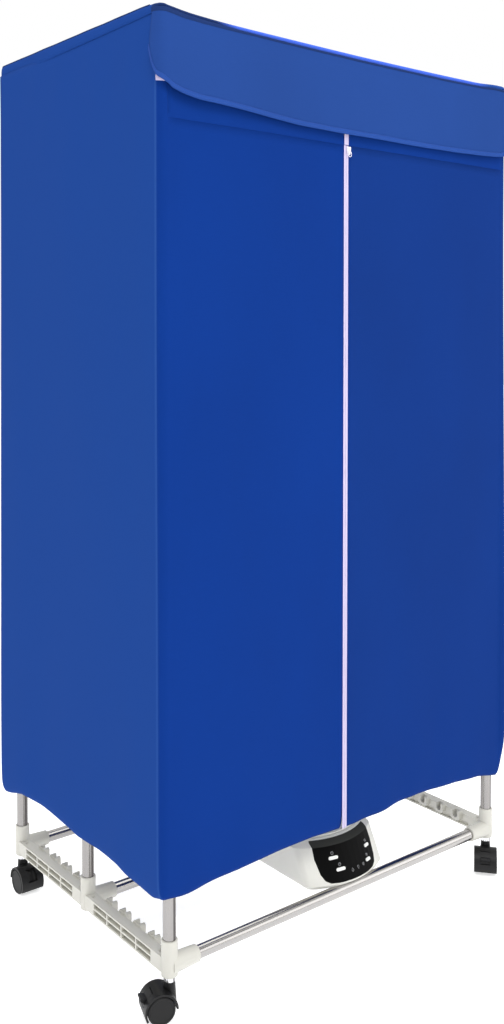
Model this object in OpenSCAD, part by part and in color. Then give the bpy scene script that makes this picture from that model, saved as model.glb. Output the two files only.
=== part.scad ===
// Portable drying cabinet: a tube frame on casters, a fabric cover with a zipped front and a fan heater.
// Millimetres. Origin on the floor under the middle of the frame, X to the right, Y to the back, Z up.

/* [Frame] */
// Distance across between the left and right upright axes
frame_w = 690; // [600:10:820]
// Distance from the front to the rear upright axes
frame_d = 460; // [420:10:560]
// Height of the cover roof above the floor
cabinet_h = 1416; // [1200:4:1600]
// Outer diameter of the upright and cross tubes
tube_d = 19; // [16:0.5:20]
// Wall of the steel tubes
tube_wall = 0.8; // [0.6:0.1:1.5]
// Diameter of the hanging rods
rod_d = 10; // [8:0.5:12]
// Wall of the hanging rods
rod_wall = 0.8; // [0.6:0.1:1.2]

/* [Joints] */
// Plastic wall of a socket around its tube
socket_wall = 2.4; // [2:0.1:3.5]
// Height of a base joint
sleeve_h = 52; // [46:1:64]
// Depth to which a tube sits in its socket
seat_depth = 26; // [18:1:28]
// Height of the cross tube axis above the sleeve end
socket_rise = 15; // [14.5:0.5:18]
// Reach of a cross socket from the upright axis
socket_reach = 46; // [40:1:60]

/* [Side beams] */
// Height of a side beam
beam_h = 22; // [20:1:28]
// Width of a side beam
beam_w = 17; // [15:1:22]
// How far the beam's outer face lies outside the upright axis
beam_out = 10; // [8:0.5:11]
// Thickness of the beam's flanges and ribs
beam_rib = 2.5; // [1.5:0.1:3]
// Pockets along a beam in each of its two rows
pocket_count = 4; // [3:1:6]
// Rod cradles on a side beam
cradle_count = 4; // [3:1:4]
// Distance between neighbouring cradles
cradle_pitch = 40; // [34:1:42]
// Distance from the middle upright to the first cradle
cradle_first = 52; // [50:1:60]
// Reach of a cradle from the beam towards the inside
cradle_reach = 10; // [7:1:14]

/* [Cover] */
// How far the cover stands outside the upright axes at the sides
cover_side = 25; // [22:1:40]
// How far the cover stands outside the upright axes at the front and back
cover_front = 18; // [16:1:30]
// Radius of the cover's upright corners
cover_corner = 14; // [8:1:20]
// Thickness of the cover cloth with its backing
cloth = 1.2; // [1:0.1:1.6]
// Height of the hem above the floor
hem_z = 186; // [160:2:240]
// Rise of the roof in its middle
roof_crown = 7; // [3:1:14]
// Drop of the front flap at its deepest
flap_drop = 142; // [110:2:180]
// Place of the upright zip, to the right of the middle
zip_x = -24; // [-60:2:60]
// Width of the closed zip
zip_w = 10; // [8:1:14]

/* [Heater] */
// Width of the heater
heater_w = 168; // [150:2:180]
// Height of the heater
heater_h = 66; // [64:1:80]
// Radius of the heater's front at its base
heater_r = 155; // [145:1:175]
// How much further back the front stands at the top
heater_lean = 30; // [24:1:36]
// Depth of the heater from its front to its back
heater_d = 262; // [250:2:290]
// Place of the heater to the right of the middle
heater_x = 12; // [-40:2:40]
// Wall of the heater's housing
heater_wall = 2.2; // [1.8:0.1:3]
// Diameter of the air outlet
outlet_d = 104; // [90:2:116]
// Blades of the fan
blade_count = 11; // [7:1:15]
// Travel of a button
button_travel = 1.2; // [0.8:0.1:2]

/* [Casters] */
// Diameter of a caster wheel
wheel_d = 40; // [34:1:42]
// Height from the floor to the frame joints
caster_h = 59; // [57:1:70]
// Width of a caster across both wheels
caster_w = 40; // [36:1:48]
// Distance from the swivel axis to the axle
caster_trail = 16; // [14:1:22]
// Turn of the front left caster at rest
turn_front_left = 161; // [-180:1:180]
// Turn of the front right caster at rest
turn_front_right = -140; // [-180:1:180]
// Turn of the rear left caster at rest
turn_rear_left = -90; // [-180:1:180]
// Turn of the rear right caster at rest
turn_rear_right = -118; // [-180:1:180]

/* [Fits] */
// Clearance round a tube in its socket, on the radius
tube_fit = 0.1; // [0.05:0.05:0.3]
// Clearance between parts that are pushed together
push_fit = 0.2; // [0.1:0.05:0.4]
// Clearance between parts that move past each other
run_fit = 0.4; // [0.3:0.05:0.6]

/* [Hidden] */
$fn = 48;
eps = 0.01;

// Frame
half_w = frame_w / 2;
half_d = frame_d / 2;
tube_r = tube_d / 2;
sleeve_r = tube_r + socket_wall;
socket_root_r = sleeve_r + 2.4;
socket_seat = 16;
base_z = caster_h;
base_axis_z = base_z + socket_rise;
joint_chamfer = 0.8;
mid_sleeve_h = 2 * seat_depth + 22;
top_gap = roof_crown + cloth + run_fit;
top_axis_z = cabinet_h - top_gap - socket_rise;
mid_axis_z = (base_axis_z + top_axis_z) / 2;
lug_w = 7;
lug_h = 11;
lug_l = 16;
stem_d = 8;
stem_depth = 18;
screw_d = 3;
screw_head_d = 6;

// Side beams
beam_in = beam_w - beam_out;
beam_end = sleeve_r + 22;
pocket_depth = 9;
channel_depth = 4;
cradle_rise = 4;
cradle_wall = 5;
rest_fit = 0.05;
notch_r = rod_d / 2 + push_fit;
notch_z = beam_h / 2 - 3;
cradle_drop = notch_r + 4;
rod_spots = [1, 3];

// Cover
cover_hw = half_w + cover_side;
cover_hd = half_d + cover_front;
flat_hw = cover_hw - cover_corner;
flat_hd = cover_hd - cover_corner;
seam_fit = 0.2;
hinge_gap = 0.9;
roof_z = cabinet_h - roof_crown;
wall_top = roof_z - cloth - seam_fit;
face_bow = 3;
door_clear = 7;
door_top = roof_z - flap_drop - door_clear;
door_y = -cover_hd;
header_y = door_y + cloth + run_fit;
header_lap = 16;
zip_thick = 1.6;
zip_proud = 0.9;
slider_w = 8;
slider_h = 13;
slider_t = 3;
slider_top = door_top - 2;
header_zip_z = roof_z - 97;
header_zip_h = 8;
header_zip_t = 0.8;
flap_gap = 0.8;
flap_end_drop = 58;
flap_corner = 60;
flap_stand = 4;

// Heater
heater_z = base_axis_z + tube_r + push_fit;
heater_y = -85;
heater_corner = 18;
heater_foot = 5;
heater_brim = 9;
heater_base_h = 3.6;
lean_angle = atan(heater_lean / heater_h);
panel_hw = 60;
panel_low = 5;
panel_high = heater_h - 2;
panel_t = 2;
panel_proud = 0.4;
button_h = 5;
button_proud = 1;
button_flange = 1;
button_flange_t = 1;
BUTTONS = [[-32, 40, 17], [-24, 23, 17], [44, 38, 12], [38, 20, 12]];
fan_r = 47;
fan_hub_r = 14;
fan_h = 20;
motor_r = 21;
motor_h = 18;
motor_z = 5;
fan_z = motor_z + motor_h + 1;
shaft_d = 4;
element_w = 92;
element_d = 72;
element_t = 8;
element_z = fan_z + fan_h + 3;
fin_count = 12;
grille_ring_w = 5;
grille_t = 2.4;
grille_slats = 9;
grille_spine = 3;
deck_step = 3;
deck_inset = 12;
pad_wall = 4.5;
button_seat = pad_wall + 0.5;
pad_grow = 6;
board_w = 96;
board_h = 48;
board_t = 1.6;
board_behind = 18;
board_mid = 33;
post_top = 8.6;
switch_w = 5;
gland_d = 12;
gland_x = 45;
gland_z = 28;
gland_flange = 3;
inlet_count = 12;
post_r = 3;

// Casters
wheel_r = wheel_d / 2;
hood_gap = 1.2;
hood_wall = 3;
hood_in_r = wheel_r + hood_gap;
hood_r = hood_in_r + hood_wall;
web_t = 4;
axle_d = 5;
wheel_w = (caster_w - web_t) / 2 - run_fit;
wheel_edge = 1.5;
wheel_dish = 0.8;
wheel_cap = 3;
neck_r = 8;
collar_r = 8.5;
collar_h = 7;
neck_top = caster_h - collar_h - run_fit;
stem_low = wheel_r + hood_in_r - 2;
hood_from = -29;
hood_to = 180;
lever_w = 16;
lever_low = 12;
lever_high = 62;
lever_tab = 9;
lever_pin = 57;
lever_pin_d = 1.6;
lever_pin_l = 2;
CASTERS = [
    [-1, -1, turn_front_left], [1, -1, turn_front_right],
    [-1, 1, turn_rear_left], [1, 1, turn_rear_right]
];

ivory = [0.85, 0.83, 0.77];
steel = [0.78, 0.78, 0.80];
blue = [0.10, 0.25, 0.62];
black = [0.13, 0.13, 0.13];
white = [0.92, 0.91, 0.94];

// ---------- shared shapes ----------

// Round bar or tube along Z
module tube(d, wall, h) {
    difference() {
        cylinder(d = d, h = h);
        translate([0, 0, -1]) cylinder(d = d - 2 * wall, h = h + 2);
    }
}

// Copies its children to the left upright and mirrored to the right one
module both_sides() {
    for (side = [0, 1]) mirror([side, 0, 0]) translate([-half_w, 0, 0]) children();
}

// Sleeve round an upright: a revolved profile with chamfered mouths
module sleeve(h) {
    rotate_extrude() polygon([
        [0, 0], [sleeve_r - joint_chamfer, 0], [sleeve_r, joint_chamfer],
        [sleeve_r, h - joint_chamfer], [sleeve_r - joint_chamfer, h], [0, h]
    ]);
}

// Tapered socket for a cross tube, from the upright axis towards the inside
module cross_socket() {
    rotate([0, 90, 0]) cylinder(r1 = socket_root_r, r2 = sleeve_r + 0.3, h = socket_reach);
}

// Tongue that carries the end of a side beam
module beam_lug() {
    translate([-beam_out + (beam_w - lug_w) / 2, 0, -lug_h / 2]) cube([lug_w, sleeve_r + lug_l, lug_h]);
}

// Left-hand joint round an upright axis, with its cross socket at z = 0.
// low and high are the sleeve's ends; ways lists the beam sides, 1 to the back and -1 to the front.
module joint(low, high, open_low, open_high, ways, stem) {
    bore_r = tube_r + tube_fit;
    difference() {
        union() {
            translate([0, 0, low]) sleeve(high - low);
            cross_socket();
            for (way = ways) scale([1, way, 1]) beam_lug();
        }
        if (open_high) translate([0, 0, high - seat_depth]) cylinder(r = bore_r, h = seat_depth + 1);
        if (open_low) translate([0, 0, low - 1]) cylinder(r = bore_r, h = seat_depth + 1);
        translate([socket_seat, 0, 0]) rotate([0, 90, 0]) cylinder(r = bore_r, h = socket_reach);
        if (stem) translate([0, 0, low - 1]) cylinder(d = stem_d + 2 * tube_fit, h = stem_depth + 1);
        for (way = ways) translate([-beam_out + beam_w / 2, way * (sleeve_r + lug_l / 2), -lug_h])
            cylinder(d = screw_d - 0.4, h = 2 * lug_h);
    }
}

function joint_ways(row) = row < 0 ? [1] : row > 0 ? [-1] : [1, -1];

module base_joint_pair(row) {
    color(ivory) both_sides() translate([0, row * half_d, base_axis_z])
        joint(-socket_rise, sleeve_h - socket_rise, false, true, joint_ways(row), row != 0);
}

module upper_joints(z, low, high, open_high) {
    color(ivory) both_sides() for (row = [-1, 0, 1]) translate([0, row * half_d, z])
        joint(low, high, true, open_high, joint_ways(row), false);
}

module upright_pair(row) {
    lower_from = base_z + sleeve_h - seat_depth;
    lower_to = mid_axis_z - mid_sleeve_h / 2 + seat_depth;
    upper_from = mid_axis_z + mid_sleeve_h / 2 - seat_depth;
    upper_to = top_axis_z - sleeve_h + socket_rise + seat_depth;
    color(steel) both_sides() translate([0, row * half_d, 0]) {
        translate([0, 0, lower_from]) tube(tube_d, tube_wall, lower_to - lower_from);
        translate([0, 0, upper_from]) tube(tube_d, tube_wall, upper_to - upper_from);
    }
}

module cross_tube(row, z) {
    span = frame_w - 2 * socket_seat;
    color(steel) translate([-span / 2, row * half_d, z]) rotate([0, 90, 0]) tube(tube_d, tube_wall, span);
}

// Left-hand beam from the middle upright (y = 0) towards the back, centred on z = 0
module side_beam() {
    window = half_d - 2 * beam_end;
    pocket_l = (window - (pocket_count - 1) * beam_rib) / pocket_count;
    pocket_h = (beam_h - 3 * beam_rib) / 2;
    difference() {
        union() {
            translate([-beam_out, 0, -beam_h / 2]) cube([beam_w, half_d, beam_h]);
            for (i = [0 : cradle_count - 1]) translate([beam_in - eps, cradle_first + i * cradle_pitch, 0])
                cradle_body();
        }
        for (y = [0, half_d]) translate([0, y, -beam_h]) cylinder(r = sleeve_r + push_fit, h = 2 * beam_h);
        for (y = [0, half_d]) translate([0, y, 0]) rotate([0, 90, 0])
            cylinder(r = socket_root_r + push_fit, h = 2 * beam_w);
        for (i = [0 : pocket_count - 1], row = [0, 1])
            translate([
                -beam_out - eps,
                beam_end + i * (pocket_l + beam_rib),
                row * (pocket_h + beam_rib) - pocket_h - beam_rib / 2
            ]) cube([pocket_depth + eps, pocket_l, pocket_h]);
        translate([beam_in - channel_depth, beam_end, -beam_h / 2 + beam_rib])
            cube([channel_depth + cradle_reach / 3, window, beam_h - 2 * beam_rib - cradle_drop]);
        for (y = [0, half_d - sleeve_r - lug_l - push_fit])
            translate([-beam_out + (beam_w - lug_w) / 2 - push_fit, y, -lug_h / 2 - push_fit])
            cube([lug_w + 2 * push_fit, sleeve_r + lug_l + push_fit, lug_h + 2 * push_fit]);
        for (y = [sleeve_r + lug_l / 2, half_d - sleeve_r - lug_l / 2])
            translate([-beam_out + beam_w / 2, y, 0]) {
            cylinder(d = screw_d, h = beam_h);
            translate([0, 0, beam_h / 2 - 1.2]) cylinder(d = screw_head_d, h = beam_h);
        }
        for (i = [0 : cradle_count - 1])
            translate([beam_in + eps, cradle_first + i * cradle_pitch, notch_z]) cradle_notch();
    }
}

// One cradle: a block with two tips, before its notch is cut
module cradle_body() {
    width = 2 * (notch_r + cradle_wall);
    rotate([90, 0, 90]) linear_extrude(cradle_reach + eps) polygon([
        [-width / 2, notch_z - cradle_drop + 3], [-width / 2 + 3, notch_z - cradle_drop],
        [width / 2 - 3, notch_z - cradle_drop], [width / 2, notch_z - cradle_drop + 3],
        [width / 2, beam_h / 2 + cradle_rise - 2], [width / 2 - 2, beam_h / 2 + cradle_rise],
        [-width / 2 + 2, beam_h / 2 + cradle_rise], [-width / 2, beam_h / 2 + cradle_rise - 2]
    ]);
}

module cradle_notch() {
    rotate([0, 90, 0]) cylinder(r = notch_r, h = 2 * cradle_reach);
    translate([0, -notch_r, 0]) cube([2 * cradle_reach, 2 * notch_r, beam_h]);
}

// side is -1 left or 1 right; row is -1 front or 1 rear
module placed_beam(side, row, z) {
    color(ivory) scale([-side, row, 1]) translate([-half_w, 0, z]) side_beam();
}

module beam_set(z) {
    for (side = [-1, 1], row = [-1, 1]) placed_beam(side, row, z);
}

module rod_set(z) {
    length = frame_w - 2 * beam_in - 2 * run_fit;
    drop = push_fit - rest_fit;
    color(steel) for (row = [-1, 1], spot = rod_spots)
        translate([-length / 2, row * (cradle_first + spot * cradle_pitch), z + notch_z - drop])
        rotate([0, 90, 0]) tube(rod_d, rod_wall, length);
}

// ---------- cover ----------

// Closed sheet between two grids of points; columns run counter-clockwise seen from above, rows run up
module cloth_sheet(outer, inner) {
    rows = len(outer);
    cols = len(outer[0]);
    n = rows * cols;
    points = concat([for (r = outer) for (p = r) p], [for (r = inner) for (p = r) p]);
    faces = concat(
        [for (i = [0 : rows - 2]) for (j = [0 : cols - 2]) let (a = i * cols + j)
            each [[a, a + cols, a + cols + 1], [a, a + cols + 1, a + 1]]],
        [for (i = [0 : rows - 2]) for (j = [0 : cols - 2]) let (a = n + i * cols + j)
            each [[a, a + cols + 1, a + cols], [a, a + 1, a + cols + 1]]],
        [for (j = [0 : cols - 2]) each [[j, j + 1, n + j + 1], [j, n + j + 1, n + j]]],
        [for (j = [0 : cols - 2]) let (a = n - cols + j)
            each [[a + 1, a, n + a], [a + 1, n + a, n + a + 1]]],
        [for (i = [0 : rows - 2]) let (a = i * cols)
            each [[a + cols, a, n + a], [a + cols, n + a, n + a + cols]]],
        [for (i = [0 : rows - 2]) let (a = i * cols + cols - 1)
            each [[a, a + cols, n + a + cols], [a, n + a + cols, n + a]]]
    );
    polyhedron(points, faces, convexity = 6);
}

// Height of the wavy hem along the front and along a side
function hem_front(x) = hem_z + 2 + 9 * cos(0.45 * (x - 90));
function hem_side(y) = hem_z + 15 * sin(0.64 * (y - 10));
function hem_back(x) = hem_z + 4 + 6 * sin(0.5 * x);

// Upright sheet along a path of [x, y, nx, ny, hem height, bow share]
module upright_sheet(path, top, bow, rows) {
    outer = [for (i = [0 : rows]) let (v = i / rows) [for (p = path)
        let (out = bow * p[5] * sin(180 * v))
        [p[0] + p[2] * out, p[1] + p[3] * out, p[4] + (top - p[4]) * v]]];
    inner = [for (i = [0 : rows]) [for (j = [0 : len(path) - 1])
        outer[i][j] - cloth * [path[j][2], path[j][3], 0]]];
    cloth_sheet(outer, inner);
}

// Path round a left-hand corner of the cover whose centre is at y
function corner_path(angles, y) = [for (a = angles)
    [-flat_hw + cover_corner * cos(a), y + cover_corner * sin(a), cos(a), sin(a), hem_side(y), 0]];

// Left side with both of its corners, from the rear seam round to the front hinge line
module side_sheet() {
    steps = 4;
    cut = asin(hinge_gap / cover_corner);
    rear = [for (k = [0 : steps]) 90 + cut / 3 + k * (90 - cut / 3) / steps];
    front = [for (k = [0 : steps]) 180 + k * (90 - cut) / steps];
    spans = 12;
    path = concat(
        corner_path(rear, flat_hd),
        [for (k = [1 : spans - 1]) let (y = flat_hd * (1 - 2 * k / spans))
            [-cover_hw, y, -1, 0, hem_side(y), sin(180 * k / spans)]],
        corner_path(front, -flat_hd)
    );
    upright_sheet(path, wall_top, face_bow, 10);
}

module door_sheet(from, to) {
    spans = 10;
    path = [for (k = [0 : spans]) let (x = from + (to - from) * k / spans)
        [x, door_y, 0, -1, hem_front(x), sin(180 * k / spans)]];
    upright_sheet(path, door_top, face_bow, 10);
}

module back_sheet() {
    spans = 12;
    edge = flat_hw - seam_fit;
    path = [for (k = [0 : spans]) let (x = edge * (1 - 2 * k / spans))
        [x, cover_hd, 0, 1, hem_back(x), sin(180 * k / spans)]];
    upright_sheet(path, wall_top, face_bow, 10);
}

// Drop of the flap at x: deeper right of the middle, with rounded ends
function flap_reach(x) = flap_drop - 20 * pow((x - 80) / 400, 2);
function flap_edge(x) = let (e = cover_hw - abs(x), s = max(0, 1 - e / flap_corner))
    flap_end_drop + (flap_reach(x) - flap_end_drop) * sqrt(1 - s * s);

module flap_sheet() {
    spans = 28;
    rows = 6;
    xs = [for (k = [0 : spans]) let (t = 2 * k / spans - 1) cover_hw * sin(90 * t)];
    y0 = door_y - flap_gap;
    top = roof_z - hinge_gap;
    outer = [for (i = [0 : rows]) let (v = i / rows) [for (x = xs)
        [x, y0 - cloth - flap_stand * (1 - v) * sin(70 + 40 * v), top - flap_edge(x) * (1 - v)]]];
    inner = [for (r = outer) [for (p = r) p + [0, cloth, 0]]];
    cloth_sheet(outer, inner);
}

// Roof: a crowned sheet whose four corners are rounded off
module roof_sheet() {
    nx = 14;
    ny = 10;
    edge_in = cover_corner * (1 - cos(45));
    xs = concat([-cover_hw], [for (k = [0 : nx - 2]) flat_hw * (2 * k / (nx - 2) - 1)], [cover_hw]);
    ys = concat([-cover_hd], [for (k = [0 : ny - 2]) flat_hd * (2 * k / (ny - 2) - 1)], [cover_hd]);
    outer = [for (i = [0 : ny]) [for (j = [0 : nx]) let (
        corner = (i == 0 || i == ny) && (j == 0 || j == nx),
        x = corner ? sign(xs[j]) * (cover_hw - edge_in) : xs[j],
        y = corner ? sign(ys[i]) * (cover_hd - edge_in) : ys[i],
        rise = roof_crown * cos(90 * xs[j] / cover_hw) * cos(90 * ys[i] / cover_hd))
        [x, y, roof_z + rise]]];
    inner = [for (r = outer) [for (p = r) p - [0, 0, cloth]]];
    cloth_sheet(outer, inner);
}

module zip_half(side) {
    half = zip_w / 2;
    from = side < 0 ? zip_x - half : zip_x + seam_fit;
    low = hem_front(zip_x) + 3;
    translate([from, door_y - zip_proud, low]) cube([half - seam_fit, zip_thick, door_top - low]);
}

// ---------- heater ----------

function arc(cx, cy, r, from, to, steps) =
    [for (k = [0 : steps]) let (a = from + (to - from) * k / steps) [cx + r * cos(a), cy + r * sin(a)]];

// Plan outline of the heater at height z, drawn in by inset: a bowed front, straight sides and a flat back
function heater_outline(z, inset) = let (
    r = heater_r - heater_lean * z / heater_h - inset,
    w = heater_w / 2 - inset,
    back = heater_d - heater_r - inset,
    c = heater_corner - inset,
    y = -sqrt((r - c) * (r - c) - (w - c) * (w - c)),
    b = atan((w - c) / -y)
) concat(
    arc(0, 0, r, -90 - b, -90 + b, 14),
    arc(w - c, y, c, -84 + b, 0, 5),
    arc(w - c, back - c, c, 0, 90, 5),
    arc(c - w, back - c, c, 90, 180, 5),
    arc(c - w, y, c, 180, 264 - b, 5)
);

function at_height(outline, z) = [for (p = outline) [p[0], p[1], z]];

// Solid through a stack of outlines with the same number of points
module loft(rings) {
    n = len(rings[0]);
    last = len(rings) - 1;
    polyhedron([for (ring = rings) for (p = ring) p], concat(
        [[for (j = [0 : n - 1]) j]],
        [[for (j = [0 : n - 1]) last * n + n - 1 - j]],
        [for (i = [0 : last - 1]) for (j = [0 : n - 1]) let (a = i * n + j, b = i * n + (j + 1) % n)
            each [[a, a + n, b + n], [a, b + n, b]]]
    ), convexity = 4);
}

// Solid outer form of the heater drawn in by inset, standing on its own z = 0
module heater_form(inset) {
    levels = [
        [inset, heater_foot], [heater_foot + inset, 0],
        [heater_h - heater_brim - inset, 0], [heater_h - inset, heater_brim]
    ];
    loft([for (level = levels) at_height(heater_outline(level[0], inset + level[1]), level[0])]);
}

module heater_place() {
    translate([heater_x, heater_y, heater_z]) children();
}

// Front view outline of the control panel, grown by grow
module panel_outline(grow) {
    half = [
        [panel_hw / 2, panel_low + 0.5], [panel_hw - 14, panel_low + 2], [panel_hw - 6, panel_low + 6],
        [panel_hw - 1, panel_low + 15], [panel_hw + 2, heater_h / 2 + 8], [panel_hw, panel_high]
    ];
    other_half = [for (k = [1 : len(half)]) let (p = half[len(half) - k]) [-p[0], p[1]]];
    offset(r = 3 + grow, $fn = 32) offset(delta = -3) polygon(concat([[0, panel_low]], half, other_half));
}

module panel_prism(grow) {
    translate([0, -heater_r / 2, 0]) rotate([90, 0, 0]) linear_extrude(heater_r) panel_outline(grow);
}

// Places children on the leaning front at [x, height]: their x runs along it and their z outwards
module on_front(spot) {
    r = heater_r - heater_lean * spot[1] / heater_h;
    rotate([0, 0, asin(spot[0] / r)]) translate([0, -r, spot[1]])
        rotate([90 - lean_angle, 0, 0]) children();
}

// Rounded slot for a button, from depth behind the front to height before it
module button_slot(spot, grow, depth, height) {
    w = spot[2] + 2 * grow;
    h = button_h + 2 * grow;
    translate([0, 0, -depth]) linear_extrude(depth + height) {
        square([w - h, h], center = true);
        for (side = [-1, 1]) translate([side * (w - h) / 2, 0]) circle(d = h);
    }
}

// ---------- casters ----------

// Places children at a caster: x points along the trail, z up from the floor
module caster_place(i) {
    spot = CASTERS[i];
    translate([spot[0] * half_w, spot[1] * half_d, 0]) rotate([0, 0, spot[2]]) children();
}

module at_axle() {
    translate([caster_trail, 0, wheel_r]) rotate([90, 0, 0]) children();
}

module pie(r, from, to) {
    steps = 12;
    polygon(concat([[0, 0]], [for (k = [0 : steps]) let (a = from + (to - from) * k / steps)
        r * [cos(a), sin(a)]]));
}

// Twin-wheel caster body: a hood over both wheels, a web between them and the swivel neck
module caster_body_shape() {
    pin_r = (hood_in_r + run_fit + hood_r) / 2;
    difference() {
        union() {
            at_axle() cylinder(r = hood_r, h = caster_w, center = true);
            translate([0, 0, wheel_r]) cylinder(r1 = neck_r + 2, r2 = neck_r, h = neck_top - wheel_r);
        }
        for (side = [-1, 1]) at_axle() translate([0, 0, side * (web_t / 2 + caster_w / 2)])
            cylinder(r = hood_in_r, h = caster_w, center = true);
        at_axle() linear_extrude(2 * caster_w, center = true) difference() {
            pie(2 * hood_r, hood_to, 360 + hood_from);
            circle(r = wheel_r - 6);
        }
        at_axle() linear_extrude(lever_w + 2 * run_fit, center = true) difference() {
            pie(2 * hood_r, lever_low - 3, lever_high + 3);
            circle(r = wheel_r - 2);
        }
        at_axle() rotate(lever_pin) translate([pin_r, 0, 0]) cylinder(
            d = lever_pin_d + 2 * push_fit,
            h = lever_w + 2 * lever_pin_l + 4 * run_fit,
            center = true, $fn = 24
        );
        translate([0, 0, stem_low - 1]) cylinder(d = stem_d + 2 * tube_fit, h = caster_h);
    }
    at_axle() cylinder(d = axle_d, h = web_t + 2 * (wheel_w - wheel_cap), center = true);
}

// Wheel on one side of the web, revolved round a blind hole for the axle
module caster_wheel_shape(side) {
    bore = axle_d / 2 + tube_fit;
    rim = wheel_r - 2 * wheel_edge;
    dish = wheel_w - wheel_dish;
    bore_end = wheel_w - wheel_cap;
    at_axle() scale([1, 1, side]) translate([0, 0, web_t / 2 + run_fit]) rotate_extrude() polygon([
        [bore, 0], [wheel_r - wheel_edge, 0], [wheel_r, wheel_edge],
        [wheel_r, wheel_w - wheel_edge], [wheel_r - wheel_edge, wheel_w],
        [rim, wheel_w], [rim - wheel_dish, dish], [0, dish], [0, bore_end], [bore, bore_end]
    ]);
}

// Brake lever: a curved plate in the hood's slot with two pivot stubs and a foot tab
module caster_brake_shape() {
    pin_r = (hood_in_r + run_fit + hood_r) / 2;
    at_axle() {
        linear_extrude(lever_w, center = true) {
            difference() {
                pie(hood_r, lever_low, lever_high);
                circle(r = hood_in_r + run_fit);
            }
            rotate(lever_low + 16) translate([hood_r - 1, -2.5])
                polygon([[0, -1], [lever_tab, 2], [lever_tab, 4.5], [0, 7]]);
        }
        rotate(lever_pin) translate([pin_r, 0, 0])
            cylinder(d = lever_pin_d, h = lever_w + 2 * lever_pin_l, center = true, $fn = 24);
    }
}

// ---------- nodes ----------

module base_joints_front() { base_joint_pair(-1); }
module base_joints_middle() { base_joint_pair(0); }
module base_joints_rear() { base_joint_pair(1); }
module mid_joints() { upper_joints(mid_axis_z, -mid_sleeve_h / 2, mid_sleeve_h / 2, true); }
module top_joints() { upper_joints(top_axis_z, socket_rise - sleeve_h, socket_rise, false); }

module uprights_front() { upright_pair(-1); }
module uprights_middle() { upright_pair(0); }
module uprights_rear() { upright_pair(1); }

module base_cross_tube_front() { cross_tube(-1, base_axis_z); }
module base_cross_tube_middle() { cross_tube(0, base_axis_z); }
module base_cross_tube_rear() { cross_tube(1, base_axis_z); }
module upper_cross_tubes() {
    for (row = [-1, 0, 1]) cross_tube(row, top_axis_z);
    cross_tube(1, mid_axis_z);
}

module side_beam_front_left() { placed_beam(-1, -1, base_axis_z); }
module side_beam_rear_left() { placed_beam(-1, 1, base_axis_z); }
module side_beam_front_right() { placed_beam(1, -1, base_axis_z); }
module side_beam_rear_right() { placed_beam(1, 1, base_axis_z); }
module mid_side_beams() { beam_set(mid_axis_z); }
module top_side_beams() { beam_set(top_axis_z); }
module hanging_rods_mid() { rod_set(mid_axis_z); }
module hanging_rods_top() { rod_set(top_axis_z); }

module cover_roof() { color(blue) roof_sheet(); }
module cover_side_left() { color(blue) side_sheet(); }
module cover_side_right() { color(blue) mirror([1, 0, 0]) side_sheet(); }
module cover_back() { color(blue) back_sheet(); }
module cover_header() {
    edge = flat_hw - seam_fit;
    color(blue) translate([-edge, header_y, door_top - header_lap])
        cube([2 * edge, cloth, wall_top - door_top + header_lap]);
}
module cover_door_left() { color(blue) door_sheet(-flat_hw, zip_x - zip_w / 2 - seam_fit); }
module cover_door_right() { color(blue) door_sheet(zip_x + zip_w / 2 + seam_fit, flat_hw); }
module cover_flap() { color(blue) flap_sheet(); }

module zip_tape_left() { color(white) zip_half(-1); }
module zip_tape_right() { color(white) zip_half(1); }

// Slider on the right-hand half of the zip, with its ring pull hanging in front
module zip_slider() {
    front = door_y - zip_proud - run_fit;
    ring_r = 4;
    color(white) translate([zip_x + seam_fit + slider_w / 2, front, slider_top]) {
        rotate([90, 0, 0]) linear_extrude(slider_t) polygon([
            [-slider_w / 2, 0], [slider_w / 2, 0],
            [slider_w / 2 - 1, -slider_h], [1 - slider_w / 2, -slider_h]
        ]);
        translate([0, -slider_t, -slider_h - ring_r + 3]) rotate([90, 0, 0]) difference() {
            cylinder(r = ring_r, h = 1.6);
            translate([0, 0, -1]) cylinder(r = ring_r - 1.5, h = 4);
        }
    }
}

module header_zip() {
    edge = flat_hw - seam_fit;
    color(white) translate([-edge, header_y - header_zip_t - eps, header_zip_z - header_zip_h / 2])
        cube([2 * edge, header_zip_t, header_zip_h]);
}

module heater_base() {
    color(ivory) heater_place() {
        difference() {
            intersection() {
                heater_form(0);
                translate([-heater_w, -2 * heater_r, -1])
                    cube([2 * heater_w, 4 * heater_r, heater_base_h + 1]);
            }
            heater_form(heater_wall);
            for (k = [0 : inlet_count - 1]) rotate(k * 360 / inlet_count) translate([motor_r + 6, -2.5, -1])
                cube([fan_r - motor_r - 8, 5, 2 * heater_wall]);
        }
        translate([0, 0, heater_wall - eps])
            cylinder(r = motor_r + 2, h = motor_z - heater_wall - push_fit);
    }
}

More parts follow.
